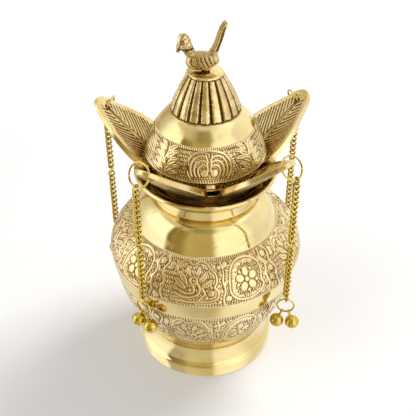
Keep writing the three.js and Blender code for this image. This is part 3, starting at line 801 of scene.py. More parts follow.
class Mixture:
    """A material, or the world, while its nodes are being made.

    Args:
        name: The material's name.
        world: The world, if it isn't a material.
    """

    def __init__(self, name: str, world: bpy.types.World | None = None) -> None:
        self.material = world or bpy.data.materials.new(name)
        self.material.use_nodes = True
        self.tree = self.material.node_tree
        self.tree.nodes.clear()

    def node(
        self,
        kind: str,
        settings: dict[str, object] | None = None,
        values: dict[int | str, object] | None = None,
        output: int | str = 0,
    ) -> Signal:
        """Makes a node of any kind.

        Args:
            kind: The node's type.
            settings: Its own settings, or "stops" for a ramp's (place, colour) pairs.
            values: Numbers, colours or signals for its sockets.
            output: Which of its outputs is wanted.

        Returns:
            That output.
        """
        made = self.tree.nodes.new(kind)
        for key, value in (settings or {}).items():
            if key == "stops":
                self._stops(made, value)
            else:
                setattr(made, key, value)
        for key, value in (values or {}).items():
            if isinstance(value, Signal):
                self.tree.links.new(value.socket, made.inputs[key])
            else:
                made.inputs[key].default_value = value
        return Signal(self, made.outputs[output] if made.outputs else None)

    @staticmethod
    def _stops(ramp: bpy.types.Node, stops: Sequence[tuple[float, Colour]]) -> None:
        """Sets a colour ramp's stops."""
        places = ramp.color_ramp.elements
        while len(places) < len(stops):
            places.new(0.5)
        for element, (place, colour) in zip(places, stops):
            element.position = place
            element.color = opaque(colour)

    def math(self, operation: str, first: object, second: object) -> Signal:
        """Makes a Math node on two values."""
        return self.node("ShaderNodeMath", {"operation": operation}, {0: first, 1: second})

    def here(self) -> Signal:
        """Reads the place on the piece in metres."""
        return self.node("ShaderNodeTexCoord", output="Object")

    def split(self) -> list[Signal]:
        """Reads the place on the piece as x, y and z in metres."""
        return [self.node("ShaderNodeSeparateXYZ", {}, {0: self.here()}, k) for k in range(3)]

    def reading(self, name: str) -> Signal:
        """Reads a number that a piece keeps for each vertex."""
        return self.node("ShaderNodeAttribute", {"attribute_name": name}, output="Fac")

    def noise(self, scale: float, detail: float = 3, where: Signal | None = None) -> Signal:
        """Makes soft noise.

        Args:
            scale: Cells to the metre.
            detail: How many finer layers it has.
            where: The place that it is read at, if not the piece's own.

        Returns:
            Values about 0.5.
        """
        values = {"Vector": where or self.here(), "Scale": scale, "Detail": detail}
        return self.node("ShaderNodeTexNoise", {}, values)

    def turned(self, fine: float, slow: float) -> Signal:
        """Stretches the place round the axis, as a lathe's marks are.

        Args:
            fine: Cells to the metre along the outline.
            slow: Cells to the turn.

        Returns:
            The stretched place.
        """
        x, y, z = self.split()
        radius = (x * x + y * y) ** 0.5
        values = {0: radius * fine, 1: z * fine, 2: self.math("ARCTAN2", y, x) * slow}
        return self.node("ShaderNodeCombineXYZ", {}, values)

    def blend(self, share: object, first: object, second: object) -> Signal:
        """Mixes two colours.

        Args:
            share: How much of the second.
            first: A colour or signal.
            second: A colour or signal.

        Returns:
            The mixed colour.
        """
        values = {0: share, 6: opaque(first), 7: opaque(second)}
        return self.node("ShaderNodeMix", {"data_type": "RGBA"}, values, 2)

    def bump(self, height: Signal, depth: float, strength: float = 1) -> Signal:
        """Turns heights into a normal.

        Args:
            height: The height from 0 to 1.
            depth: What 1 is in millimetres.
            strength: How much of it shows.

        Returns:
            The normal.
        """
        values = {"Strength": strength, "Distance": depth * MM, "Height": height}
        return self.node("ShaderNodeBump", {}, values)

    def metal(self, colour: Signal, roughness: Signal, normal: Signal) -> Material:
        """Ends the material in a Principled shader for bare metal.

        Args:
            colour: Its colour.
            roughness: Its roughness.
            normal: Its normal.

        Returns:
            The material.
        """
        values = {"Base Color": colour, "Metallic": 1.0, "Roughness": roughness, "Normal": normal}
        shader = self.node("ShaderNodeBsdfPrincipled", {}, values)
        self.node("ShaderNodeOutputMaterial", {}, {"Surface": shader})
        return self.material

    def glow(self, colour: Colour | Signal, strength: float | Signal) -> Signal:
        """Makes a shader that shines by itself."""
        values = {"Color": opaque(colour), "Strength": strength}
        return self.node("ShaderNodeEmission", {}, values)

    def either(self, share: float | Signal, first: Signal, second: Signal) -> Signal:
        """Mixes two shaders; the share is how much of the second shows."""
        return self.node("ShaderNodeMixShader", {}, {0: share, 1: first, 2: second})


@dataclass(frozen=True)
class PolishedBrass:
    """Plain brass from the lathe, buffed, with faint turning marks and handling.

    Scales are cells to the metre and depths are millimetres, here and below.
    """

    name: str = "polished_brass"
    bright: Colour = (0.79, 0.66, 0.35)
    warm: Colour = (0.71, 0.565, 0.26)
    stain: Colour = (0.5, 0.33, 0.11)
    gloss: float = 0.04
    cloud_scale: float = 38
    mark_scale: float = 2600
    stain_scale: float = 210
    mark_depth: float = 0.02

    def material(self) -> Material:
        """Makes the material."""
        mix = Mixture(self.name)
        clouds = mix.noise(self.cloud_scale, 4).rise(0.35, 0.7)
        marks = mix.noise(1, 5, mix.turned(self.mark_scale, 1.2))
        colour = mix.blend(clouds, self.bright, self.warm)
        stains = mix.noise(self.stain_scale, 5).rise(0.62, 0.74)
        colour = mix.blend(stains * 0.35, colour, self.stain)
        rough = clouds * 0.05 + marks * 0.09 + stains * 0.1 + self.gloss
        return mix.metal(colour, rough, mix.bump(marks, self.mark_depth, 0.35))


@dataclass(frozen=True)
class EmbossedBrass:
    """Pressed ornament, bright on top with brown patina left in the ground."""

    name: str = "embossed_brass"
    top: Colour = (0.87, 0.72, 0.43)
    worn: Colour = (0.77, 0.59, 0.29)
    ground: Colour = (0.25, 0.135, 0.035)
    gloss: float = 0.48
    grime_scale: float = 420
    wear_scale: float = 60
    grain_scale: float = 1800
    grain_depth: float = 0.03

    def material(self) -> Material:
        """Makes the material."""
        mix = Mixture(self.name)
        high = mix.reading("relief")
        grime = mix.noise(self.grime_scale, 4).rise(0.3, 0.75)
        shown = (high + grime * 0.22 - 0.11).rise(0.12, 0.72)
        # Real wear: noise mixes in the worn-brass colour here; no light is painted in this finish.
        brass = mix.blend(mix.noise(self.wear_scale, 3).rise(0.35, 0.72), self.top, self.worn)
        colour = mix.blend(shown, self.ground, brass)
        rough = shown * -0.28 + grime * 0.08 + self.gloss
        grain = mix.noise(self.grain_scale, 3)
        return mix.metal(colour, rough, mix.bump(grain, self.grain_depth, 0.5))


@dataclass(frozen=True)
class CastBrass:
    """Sand-cast brass: satin where it was filed, dark and pitted where it wasn't."""

    name: str = "cast_brass"
    filed: Colour = (0.83, 0.68, 0.38)
    warm: Colour = (0.72, 0.54, 0.24)
    dark: Colour = (0.17, 0.085, 0.018)
    gloss: float = 0.4
    pit_scale: float = 900
    blotch_scale: float = 160
    wear_scale: float = 70
    pit_depth: float = 0.12

    def material(self) -> Material:
        """Makes the material."""
        mix = Mixture(self.name)
        high = mix.reading("relief")
        raw = mix.reading("raw")
        pits = mix.noise(self.pit_scale, 4)
        blotch = mix.noise(self.blotch_scale, 4).rise(0.38, 0.62)
        specks = (pits - 0.5) * (raw * 2.4 + 0.2)
        # The relief attribute darkens grooves as patina and, at the bird's foot, as painted shade.
        shown = (high - raw * 0.3 + specks).rise(0.1, 0.8)
        grime = raw * blotch * 0.7
        brass = mix.blend(mix.noise(self.wear_scale, 3).rise(0.35, 0.7), self.filed, self.warm)
        colour = mix.blend(shown * (1 - grime), self.dark, brass)
        rough = shown * -0.26 + raw * 0.14 + pits * 0.1 + self.gloss
        return mix.metal(colour, rough, mix.bump(pits * (raw * 1.6 + 0.4), self.pit_depth, 0.6))


@dataclass(frozen=True)
class GiltWire:
    """Deeper yellow wire and bells with a little dirt, and painted shade on the wires' inner sides
    and inside the bells.
    """

    name: str = "gilt_wire"
    bright: Colour = (0.79, 0.61, 0.13)
    shaded_and_dirty: Colour = (0.32, 0.18, 0.02)
    gloss: float = 0.16
    dirt_scale: float = 520
    grain_scale: float = 2400
    grain_depth: float = 0.02

    def material(self) -> Material:
        """Makes the material."""
        mix = Mixture(self.name)
        dirt = mix.noise(self.dirt_scale, 4).rise(0.42, 0.72)
        grain = mix.noise(self.grain_scale, 2)
        # Painted shade: the colour falls towards the dark one where a wire faces inwards or a
        # bell's inside lies; noise adds real dirt on top.
        shade = (1 - mix.reading("worn")) * 0.85 + dirt * 0.4
        colour = mix.blend(shade, self.bright, self.shaded_and_dirty)
        rough = dirt * 0.2 + self.gloss
        return mix.metal(colour, rough, mix.bump(grain, self.grain_depth, 0.3))


@dataclass(frozen=True)
class InnerSteel:
    """The bells' pellets and the hidden screw."""

    name: str = "inner_steel"
    pale: Colour = (0.5, 0.49, 0.47)
    dark: Colour = (0.28, 0.26, 0.23)
    gloss: float = 0.3
    stain_scale: float = 700
    grain_scale: float = 3000
    grain_depth: float = 0.02

    def material(self) -> Material:
        """Makes the material."""
        mix = Mixture(self.name)
        stain = mix.noise(self.stain_scale, 4).rise(0.4, 0.7)
        colour = mix.blend(stain, self.pale, self.dark)
        grain = mix.noise(self.grain_scale, 2)
        return mix.metal(colour, stain * 0.25 + self.gloss, mix.bump(grain, self.grain_depth, 0.4))


FINISHES = (PolishedBrass(), EmbossedBrass(), CastBrass(), GiltWire(), InnerSteel())


class Maker:
    """What every sub-assembly needs: the bench, the finishes and the frame's places.

    Args:
        finishes: The materials by their slots' names.
    """

    body = ""

    def __init__(self, finishes: dict[str, Material]) -> None:
        self.finishes = finishes
        self.bench = Bench()

    def dress(self, piece: Piece, slot: str) -> None:
        """Gives a piece one finish."""
        piece.data.materials.clear()
        piece.data.materials.append(self.finishes[slot])

    def place(self, piece: Piece, slot: str, body: str, node: str, angle: float = 35) -> None:
        """Smooths and dresses a piece and hands it to its body.

        Args:
            piece: The finished piece.
            slot: The record's material slot, which names its finish too.
            body: The body that it rides on.
            node: The CAD node that it stands for.
            angle: Edges sharper than this stay sharp, in degrees.
        """
        self.bench.soften(piece, angle)
        self.dress(piece, slot)
        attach(piece, body)
        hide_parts(node)
        log.info("%s rides on %s, %d faces", piece.name, body, len(piece.data.polygons))

    def plain(self, name: str, outline: Outline, steps: int, node: str, angle: float = 35) -> None:
        """Spins a plain polished part of the sub-assembly's body.

        Args:
            name: The piece's name.
            outline: Its closed outline.
            steps: Segments of the turn.
            node: The CAD node that it stands for.
            angle: Edges sharper than this stay sharp, in degrees.
        """
        piece = self.bench.lathe(name, outline, steps)
        self.place(piece, "polished_brass", self.body, node, angle)

    def emboss(
        self, piece: Piece, line: Outline, cell: Relief, repeats: int, phase: float, depth: float
    ) -> None:
        """Presses a relief into the outer skin of a spun band's sector and closes the band.

        Args:
            piece: The first of the band's sectors, one repeat long.
            line: Its outer outline, running upwards.
            cell: One repeat of the relief.
            repeats: How many go round.
            phase: The azimuth of the repeat's start in degrees.
            depth: How deep the ground lies below the ornament.
        """
        skin_depth, pitch, edge = 0.2, 0.05, (0.25, 0.5)
        places = corners(piece)
        radius = np.hypot(places[:, 0], places[:, 1])
        fine = np.array(resample(line, pitch))
        nearest = np.clip(np.searchsorted(fine[:, 1], places[:, 2]), 0, len(fine) - 1)
        off = np.hypot(radius - fine[nearest, 0], places[:, 2] - fine[nearest, 1])
        skin = off < skin_depth
        turn = np.degrees(np.arctan2(places[:, 1], places[:, 0])) - phase
        up = np.linspace(0, 1, len(fine))[nearest]
        end = np.minimum(up, 1 - up) * travelled(np.array(line))[-1]
        high = np.maximum(cell.sample(turn / (360 / repeats), up), 1 - ease(*edge, end))
        high = np.where(skin, high, 0.5)
        inward = lefts(fine)[nearest] * np.where(skin, depth * (1 - high), 0)[:, None]
        press_in(places, radius, -inward[:, 0])
        places[:, 2] += inward[:, 1]
        put_corners(piece, places)
        note(piece, "relief", high)
        self.bench.close_round(piece, repeats)


# The pot


@dataclass
class PotSizes:
    """The pot's outlines as (radius, height) in millimetres."""

    foot: Outline = ((48.7, 0), (49, 0.5), (48.75, 3.8), (48.5, 7.2), (48.2, 7.8), (47.6, 8.2))
    cove: Outline = (
        (47.6, 8.2), (46.4, 9.4), (45.3, 11.6), (44.6, 14.4), (44.2, 17.6), (44.1, 22.4),
    )
    floor: Outline = ((ON_AXIS, 18.4), (12, 18.5), (22, 19.3), (34, 21), (41.4, 22.4))
    waist: Outline = ((44.1, 22.4), (44.9, 24.6), (46.25, 27.9), (47.4, 31), (48.35, 33.2))
    lower: Outline = (
        (48.4, 33.4), (51.3, 38.8), (54.9, 45.6), (58, 52.85), (60.6, 61.4), (62.5, 72.3),
    )
    belly: Outline = (
        (62.5, 72.3), (62.95, 72.7), (63.5, 75.6), (64.3, 79.8), (64.85, 84), (65.0, 85.2),
    )
    upper: Outline = ((65, 85.2), (65.3, 89.8), (62.9, 97.3), (56.55, 105.8), (47.4, 112))
    shoulder: Outline = ((47.4, 112), (46.4, 114.6), (43.5, 122.0), (39.6, 126.9), (36, 129.5))
    neck: Outline = ((36, 129.5), (34.9, 129.65), (34.2, 129.9), (33.7, 130.6), (33.4, 135.6))
    flare: Outline = (
        (33.4, 135.6), (34.6, 139.1), (36.6, 142), (39.4, 144.2), (42.4, 145.4), (45.4, 146.8),
    )
    lip: Outline = (
        (45.4, 146.8), (46.15, 147.5), (46.3, 148.3), (46.0, 149.2), (45.2, 149.6), (44, 149.3),
    )
    throat: Outline = (
        (44, 149.3), (41, 147.7), (37.4, 145.5), (34.4, 142.4), (32, 138.2), (31.6, 129.5),
    )
    foot_wall: float = 2.4
    wall: float = 1.6
    relief_depth: float = 0.42
    repeats: int = 5
    upper_phase: float = -97.5
    lower_phase: float = -100.0


class Pot(Maker):
    """The footed pot, which stands still."""

    body = "pot"
    sizes = PotSizes()

    def build(self) -> None:
        """Models all of the pot."""
        s = self.sizes
        cell = medallion_cell()
        foot = [*s.foot[:-1], *spline(s.cove, 4)]
        waist = [*spline(s.floor, 3)[:-1], *spline(s.waist, 3)]
        neck = [*spline(s.neck, 3)[:-1], *spline(s.flare, 4)[:-1], *spline(s.lip, 3)[:-1]]
        neck += [*spline(s.throat, 4), s.neck[0]]
        shoulder = walled(spline(s.shoulder, 4), s.wall, 2)
        lower, upper = "pot_lower_shell", "pot_upper_shell"
        self.plain("foot_ring_turned", walled(foot, s.foot_wall, 3), 224, "foot_ring")
        self.plain("waist_and_floor", walled(waist, s.wall, 2), 224, lower)
        self.band("lower_band", s.lower, cell, 940, 0.44, s.lower_phase, lower)
        self.plain("belly_band", walled(spline(s.belly, 2), s.wall), 288, lower, 50)
        self.band("upper_band", s.upper, cell, 1040, 0.4, s.upper_phase, upper)
        self.plain("shoulder", shoulder, 256, upper)
        self.plain("neck_and_lip", neck, 256, "neck_collar", 50)

    def band(
        self,
        name: str,
        outline: Outline,
        cell: Relief,
        steps: int,
        pitch: float,
        phase: float,
        node: str,
    ) -> None:
        """Spins an embossed band.

        Args:
            name: The piece's name.
            outline: Its outer outline.
            cell: One repeat of its relief.
            steps: Segments of the turn.
            pitch: The rows' distance.
            phase: The azimuth of a medallion.
            node: The CAD node that it stands for.
        """
        s = self.sizes
        line = resample(spline(outline, 8), pitch)
        piece = self.bench.lathe(name, walled(line, s.wall, 14), steps, s.repeats)
        self.emboss(piece, line, cell, s.repeats, phase, s.relief_depth)
        self.place(piece, "embossed_brass", self.body, node, 60)


# The crown of leaves


@dataclass
class CrownSizes:
    """The crown's sizes in millimetres and degrees."""

    azimuths: tuple[float, ...] = (24, 94.5, 165, 241.5, 311.5)
    slope: float = math.radians(45)
    heel_share: float = 0.12
    rounding: float = 0.55
    base_radius: float = 30.9
    sink: float = 2.6
    length: float = 58.0
    thickness: Point = (4.6, 3.2)
    half_widths: tuple[float, ...] = (11.4, 18.4, 22.0, 22.2, 20.4, 17.2, 12.9, 9.0, 5.8)
    heel_drop: float = 3.5
    ring_radius: float = 33.0
    seat_gap: float = 0.3
    hole_radius: float = 2.2
    hole_from_tip: float = 9.0
    tip_length: float = 5.5
    vein_pitch: float = 3.9
    vein_slant: float = 1.3
    vein_depth: float = 0.6
    vein_start: float = 2.3
    margin: float = 3.2
    rows: int = 176
    columns: int = 96


class Crown(Maker):
    """The cast ring and its five mango leaves, which lift out together."""

    body = "crown"
    sizes = CrownSizes()

    def build(self) -> None:
        """Models the ring and copies one leaf five times."""
        low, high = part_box("crown_ring")
        self.top = high.z / MM
        base = low.z / MM
        rim = self.top - 0.5
        outline = [(28.5, base + 0.4), (28.9, base), (31.3, base), (31.7, base + 0.4)]
        outline += [(32.95, rim), (32.5, self.top), (29, self.top), (28.5, rim), outline[0]]
        ring = self.bench.lathe("crown_ring_cast", outline, 160)
        note(ring, "relief", 1)
        note(ring, "raw", 0.8)
        self.place(ring, "cast_brass", self.body, "crown_ring")
        leaf = self.leaf()
        for number, azimuth in enumerate(self.sizes.azimuths, 1):
            turn = Matrix.Rotation(math.radians(azimuth), 4, "Z")
            twin = self.bench.copy(leaf, f"mango_leaf_{number}", turn)
            self.place(twin, "cast_brass", self.body, f"leaf_{number}", 40)
        self.bench.drop(leaf)

    def half_width(self, share: Array) -> Array:
        """Reads the leaf's half width at shares of its length."""
        s = self.sizes
        knots = [(i / (len(s.half_widths) - 1), w) for i, w in enumerate(s.half_widths)]
        curve = np.array(spline(knots, 12))
        left = np.clip((1 - share) * s.length / s.tip_length, 0, 1)
        rounded = np.sqrt(np.clip(1 - (1 - left) ** 2, 0.002, 1))
        return rounded * np.interp(np.clip(share, 0, 1), curve[:, 0], curve[:, 1])

    def veins(self, along: Array, across: Array, half: Array) -> Array:
        """Draws a leaf's grooves.

        Args:
            along: Millimetres from the leaf's root.
            across: Millimetres from its midrib.
            half: Its half width there.

        Returns:
            0 in a groove and 1 on the plain metal.
        """
        s = self.sizes
        side = np.abs(across)
        bow = 0.03 * (side - s.vein_start) ** 2
        shift = s.vein_pitch * 0.35 * (across > 0)
        phase = (along - s.vein_slant * side - bow + shift) / s.vein_pitch
        number = np.round(phase)
        gap = np.abs(phase - number) * s.vein_pitch / math.hypot(1, s.vein_slant)
        end = half - s.margin - 0.6 * np.abs(np.sin(number * 2.4)) - 0.5 * gap
        width = 0.34 + 0.08 * np.sin(number * 1.9)
        groove = (1 - ease(width, width + 0.3, gap)) * ease(s.vein_start - 0.3, s.vein_start, side)
        groove *= (1 - ease(end - 0.5, end, side)) * (1 - ease(s.length - 6, s.length - 4, along))
        spread = 1.0 + 1.3 * ease(s.length * 0.8, 0, along)
        ribs = np.minimum(np.abs(side - spread), np.abs(side - 0.35 * spread) + 0.12)
        rib = (1 - ease(0.18, 0.48, ribs)) * (1 - ease(s.length - 11, s.length - 9, along))
        return 1 - np.maximum(groove, rib)

    def leaf(self) -> Piece:
        """Models the leaf that lies over +X."""
        s = self.sizes
        leaf = self.bench.add(
            bpy.ops.mesh.primitive_grid_add,
            "leaf_pattern",
            x_subdivisions=s.rows,
            y_subdivisions=s.columns,
            size=2 * MM,
        )
        self.bench.edit("FACE")
        bpy.ops.mesh.extrude_region_move(TRANSFORM_OT_translate={"value": (0, 0, MM)})
        self.bench.tidy()
        flat = corners(leaf)
        share = -s.heel_share + (1 + s.heel_share) * (flat[:, 0] + 1) / 2
        side = np.where(flat[:, 2] > 0.5, Face.INNER.value, Face.OUTER.value)
        inner = side == Face.INNER.value
        half = self.half_width(share)
        across = flat[:, 1] * half
        along = share * s.length
        high = np.where(inner, self.veins(along, across, half), 1.0)
        thick = s.thickness[0] + (s.thickness[1] - s.thickness[0]) * np.clip(share, 0, 1)
        rim = np.minimum(half - np.abs(across), (1 - share) * s.length)
        round_off = s.rounding * (1 - ease(0, 0.9, rim))
        lift = (thick / 2 - round_off) * side - np.where(inner, s.vein_depth * (1 - high), 0)
        middle, height = self.on_slope(along)
        radius = middle - lift * math.sin(s.slope)
        angle = across / middle
        places = [radius * np.cos(angle), radius * np.sin(angle), height + lift * math.cos(s.slope)]
        self.bench.reshape(leaf, np.stack(places, axis=1))
        note(leaf, "relief", high)
        note(leaf, "raw", np.where(inner, 0.12, 1.0) * ease(0.2, 0.8, rim))
        self.bench.cut(leaf, self.floor_cutter(), self.ring_cutter(), self.drill())
        return leaf

    def on_slope(self, along: Array | float) -> tuple[Array | float, Array | float]:
        """Finds the radius and height of the leaf's middle skin, that far up the leaf."""
        out = along * math.cos(self.sizes.slope)
        return self.sizes.base_radius + out, self.top - self.sizes.sink + out

    def floor_cutter(self) -> Piece:
        """Makes the block that trims the leaf's heel."""
        size = 0.2
        height = (self.top - self.sizes.heel_drop) * MM - size / 2
        return self.bench.add(
            bpy.ops.mesh.primitive_cube_add, "heel_cutter", size=size, location=(0, 0, height)
        )

    def ring_cutter(self) -> Piece:
        """Makes the room that the leaf leaves for the ring."""
        reach, low = self.sizes.ring_radius + self.sizes.seat_gap, self.top - 60
        outline = [(ON_AXIS, low), (reach, low), (reach, self.top), (ON_AXIS, self.top)]
        return self.bench.lathe("ring_cutter", [*outline, outline[0]], 120)

    def drill(self) -> Piece:
        """Makes the drill for the hole near the tip."""
        s = self.sizes
        middle, height = self.on_slope(s.length - s.hole_from_tip)
        return self.bench.add(
            bpy.ops.mesh.primitive_cylinder_add,
            "drill",
            vertices=32,
            radius=s.hole_radius * MM,
            depth=16 * MM,
            location=(middle * MM, 0, height * MM),
            rotation=(0, -s.slope, 0),
        )


# The coconut


@dataclass
class CoconutSizes:
    """The coconut's outlines and sizes in millimetres."""

    collar: Outline = (
        (33.7, 153.2), (34, 153.6), (33.1, 158.0), (33.7, 159.0), (36, 159.5), (37.7, 160.2),
        (38.4, 162.2),
    )
    body: Outline = ((38.4, 162.2), (37.4, 167), (35.1, 174.1), (30.4, 182.3))
    dome: Outline = ((30.4, 182.3), (28.4, 184.9), (26.5, 187.05), (24.1, 189.5), (21.3, 191.8))
    wall: float = 1.5
    relief_depth: float = 0.4
    repeats: int = 4
    phase: float = -86.5
    cap_radius: float = 22.0
    cap_top_radius: float = 11.2
    cap_bulge: float = 0.9
    cap_rows: int = 64
    hem_depth: float = 0.35
    flutes: int = 18
    flute_depth: float = 1.3
    flute_half: float = 0.2
    disc_radius: float = 10.9
    breast: float = -11.34
    rump: float = 7.56
    skin_cell: float = 0.28
    feather_depth: float = 0.5


class Coconut(Maker):
    """The metal coconut with its fluted cap, disc and bird."""

    body = "coconut"
    sizes = CoconutSizes()

    def build(self) -> None:
        """Models everything that lifts off with the coconut."""
        s = self.sizes
        self.plain("coconut_collar", walled(spline(s.collar, 3), s.wall), 224, "coconut_shell")
        line = resample(spline(s.body, 8), 0.38)
        piece = self.bench.lathe("coconut_band", walled(line, s.wall, 10), 720, s.repeats)
        self.emboss(piece, line, palmette_cell(), s.repeats, s.phase, s.relief_depth)
        self.place(piece, "embossed_brass", self.body, "coconut_shell", 60)
        self.plain("coconut_dome", walled(spline(s.dome, 4), s.wall), 224, "coconut_shell")
        self.cap()
        self.disc()
        self.bird()
        self.dress(frame["nodes"]["finial_screw"], "inner_steel")

    def cap(self) -> None:
        """Spins the cap and presses its flutes."""
        s = self.sizes
        low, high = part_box("fluted_cap")
        base, top = low.z / MM, high.z / MM
        shares = np.linspace(0, 1, s.cap_rows + 1)
        reach = s.cap_radius + (s.cap_top_radius - s.cap_radius) * shares
        reach += s.cap_bulge * np.sin(math.pi * shares)
        skin = list(zip(reach.tolist(), (base + (top - base) * shares).tolist()))
        outline = [*skin, (3, top), (3, top - 2), (s.cap_top_radius - 2.6, top - 2)]
        outline += [(s.cap_radius - 2.4, base), outline[0]]
        piece = self.bench.lathe("fluted_cap_cast", outline, s.flutes * 20)
        places = corners(piece)
        x, y, z = places.T
        radius, turn, height = np.hypot(x, y), np.arctan2(y, x), z - base
        panel = turn / (2 * math.pi) * s.flutes
        number = np.round(panel)
        off = np.abs(panel - number)
        wobble = 0.02 * np.sin(z * 2.1 + number * 1.7) + 0.014 * np.sin(z * 5.3 + number * 2.9)
        groove = 1 - np.clip(off / (s.flute_half + wobble), 0, 1)
        reach = np.interp(z, *np.array(skin).T[::-1])
        on_skin = radius > reach - 0.3
        above = ease(0.4, 1.6, height)
        fade = 0.75 + 0.25 * ease(0, 8, top - z)
        flat = reach * (1 - math.cos(math.pi / s.flutes)) * np.cos(off * 2 * math.pi) * 0.5
        ragged = 0.25 * np.sin(turn * 61) + 0.2 * np.sin(turn * 37 + 1)
        hem = (1 - ease(1.3, 1.9, height + ragged)) * ease(0.5, 0.8, height) * on_skin
        push = (groove * s.flute_depth * fade + flat) * above + hem * s.hem_depth
        press_in(places, radius, np.where(on_skin, push, 0))
        put_corners(piece, places)
        depth = np.maximum(ease(0.15, 0.6, groove) * above, hem)
        note(piece, "relief", np.where(on_skin, 1 - depth, 0.6))
        note(piece, "raw", 0.5)
        self.place(piece, "cast_brass", self.body, "fluted_cap", 30)

    def disc(self) -> None:
        """Spins the plain disc under the bird."""
        low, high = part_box("top_disc")
        base, top, reach = low.z / MM, high.z / MM, self.sizes.disc_radius
        rim = [(reach - 0.6, base), (reach - 0.15, base + 0.3), (reach, (base + top) / 2)]
        rim += [(reach - 0.15, top - 0.35), (reach - 0.7, top)]
        outline = [(2.3, base), *spline(rim, 3), (4.6, top), (2.3, top), (2.3, base)]
        self.plain("top_disc_turned", outline, 128, "top_disc")

    def bird(self) -> None:
        """Models the bird from limbs that are remeshed into one skin."""
        s = self.sizes
        low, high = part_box("bird_finial")
        base, tip = low.z / MM, high.z / MM
        body, head = base + 6.7, base + 23.4
        rise = tip - body
        trunk = (
            (0.2, 1.6, 3.4, 4.6), (1.4, 0.9, 7.6, 9), (4.2, -0.1, 10.6, 11.6),
            (8.6, -0.3, 11.6, 12.2), (13, 0.2, 10.4, 11.2), (16.9, 1.4, 7.6, 8.4),
            (19.2, 2.6, 3.4, 4.2),
        )
        neck = (
            (4.3, body + 0.8, 7.4, 7), (2.2, body + 5, 6.4, 6.2), (0.2, body + 8.6, 6.4, 8),
            (-1.3, head - 4.2, 6.6, 8.2), (-1.7, head - 1.6, 5.6, 6.8), (-1.6, head, 2.6, 3.2),
        )
        beak = (
            (-2.4, -5.8, 5.6, 5.8), (-4, -8.6, 4.2, 4.2), (-4.9, -10.8, 2.6, 2.7),
            (-5.3, -12.2, 1.2, 1.3),
        )
        tail = (
            (-5, 0.08, 6.8, 6.4), (-3.1, 0.2, 5.8, 5.6), (-1.4, 0.36, 5, 4.8),
            (0.4, 0.58, 5.4, 4.6), (1.9, 0.8, 6.4, 4.6), (3.3, 0.94, 5.8, 3.8), (3.9, 1, 3, 2),
        )
        foot = [(ON_AXIS, base), (3, base), (2.9, base + 0.5), (2.9, base + 1.2)]
        foot += [(3.6, base + 2.6), (ON_AXIS, base + 5.4), (ON_AXIS, base)]
        limbs = [
            self.limb([(s.breast + x, body + z, *size) for x, z, *size in trunk]),
            self.limb([(s.breast + x, z, *size) for x, z, *size in neck]),
            self.limb([(s.breast + x, head + z, *size) for x, z, *size in beak]),
            self.limb([(s.rump + x, body + z * rise, *size) for x, z, *size in tail]),
            self.bench.lathe("bird_foot", foot, 32),
        ]
        piece = self.bench.join("bird_finial_cast", limbs)
        self.bench.modifier(piece, "REMESH", mode="VOXEL", voxel_size=s.skin_cell * MM)
        self.bench.modifier(piece, "SMOOTH", factor=0.5, iterations=6)
        self.feathers(piece, body, head)
        self.place(piece, "cast_brass", self.body, "bird_finial", 60)

    def limb(self, stations: Sequence[tuple[float, float, float, float]]) -> Piece:
        """Extrudes an oval along a path in the XZ plane.

        Args:
            stations: (x, z, width, height) of each oval in millimetres.

        Returns:
            The closed limb.
        """
        limb = self.bench.add(
            bpy.ops.mesh.primitive_circle_add, "limb", vertices=20, radius=MM / 2, fill_type="NGON"
        )
        self.bench.edit()
        for _ in stations[1:]:
            bpy.ops.mesh.extrude_region_move(TRANSFORM_OT_translate={"value": (0, 0, MM)})
        self.bench.close()
        flat = corners(limb)
        row = np.round(flat[:, 2]).astype(int)
        line = np.array(stations)
        x, z, width, height = line[row].T
        left = lefts(line[:, :2])[row]
        rise = flat[:, 0] * height
        places = [x + left[:, 0] * rise, flat[:, 1] * width, z + left[:, 1] * rise]
        self.bench.reshape(limb, np.stack(places, axis=1))
        self.bench.modifier(limb, "SUBSURF", levels=1, render_levels=1)
        return limb

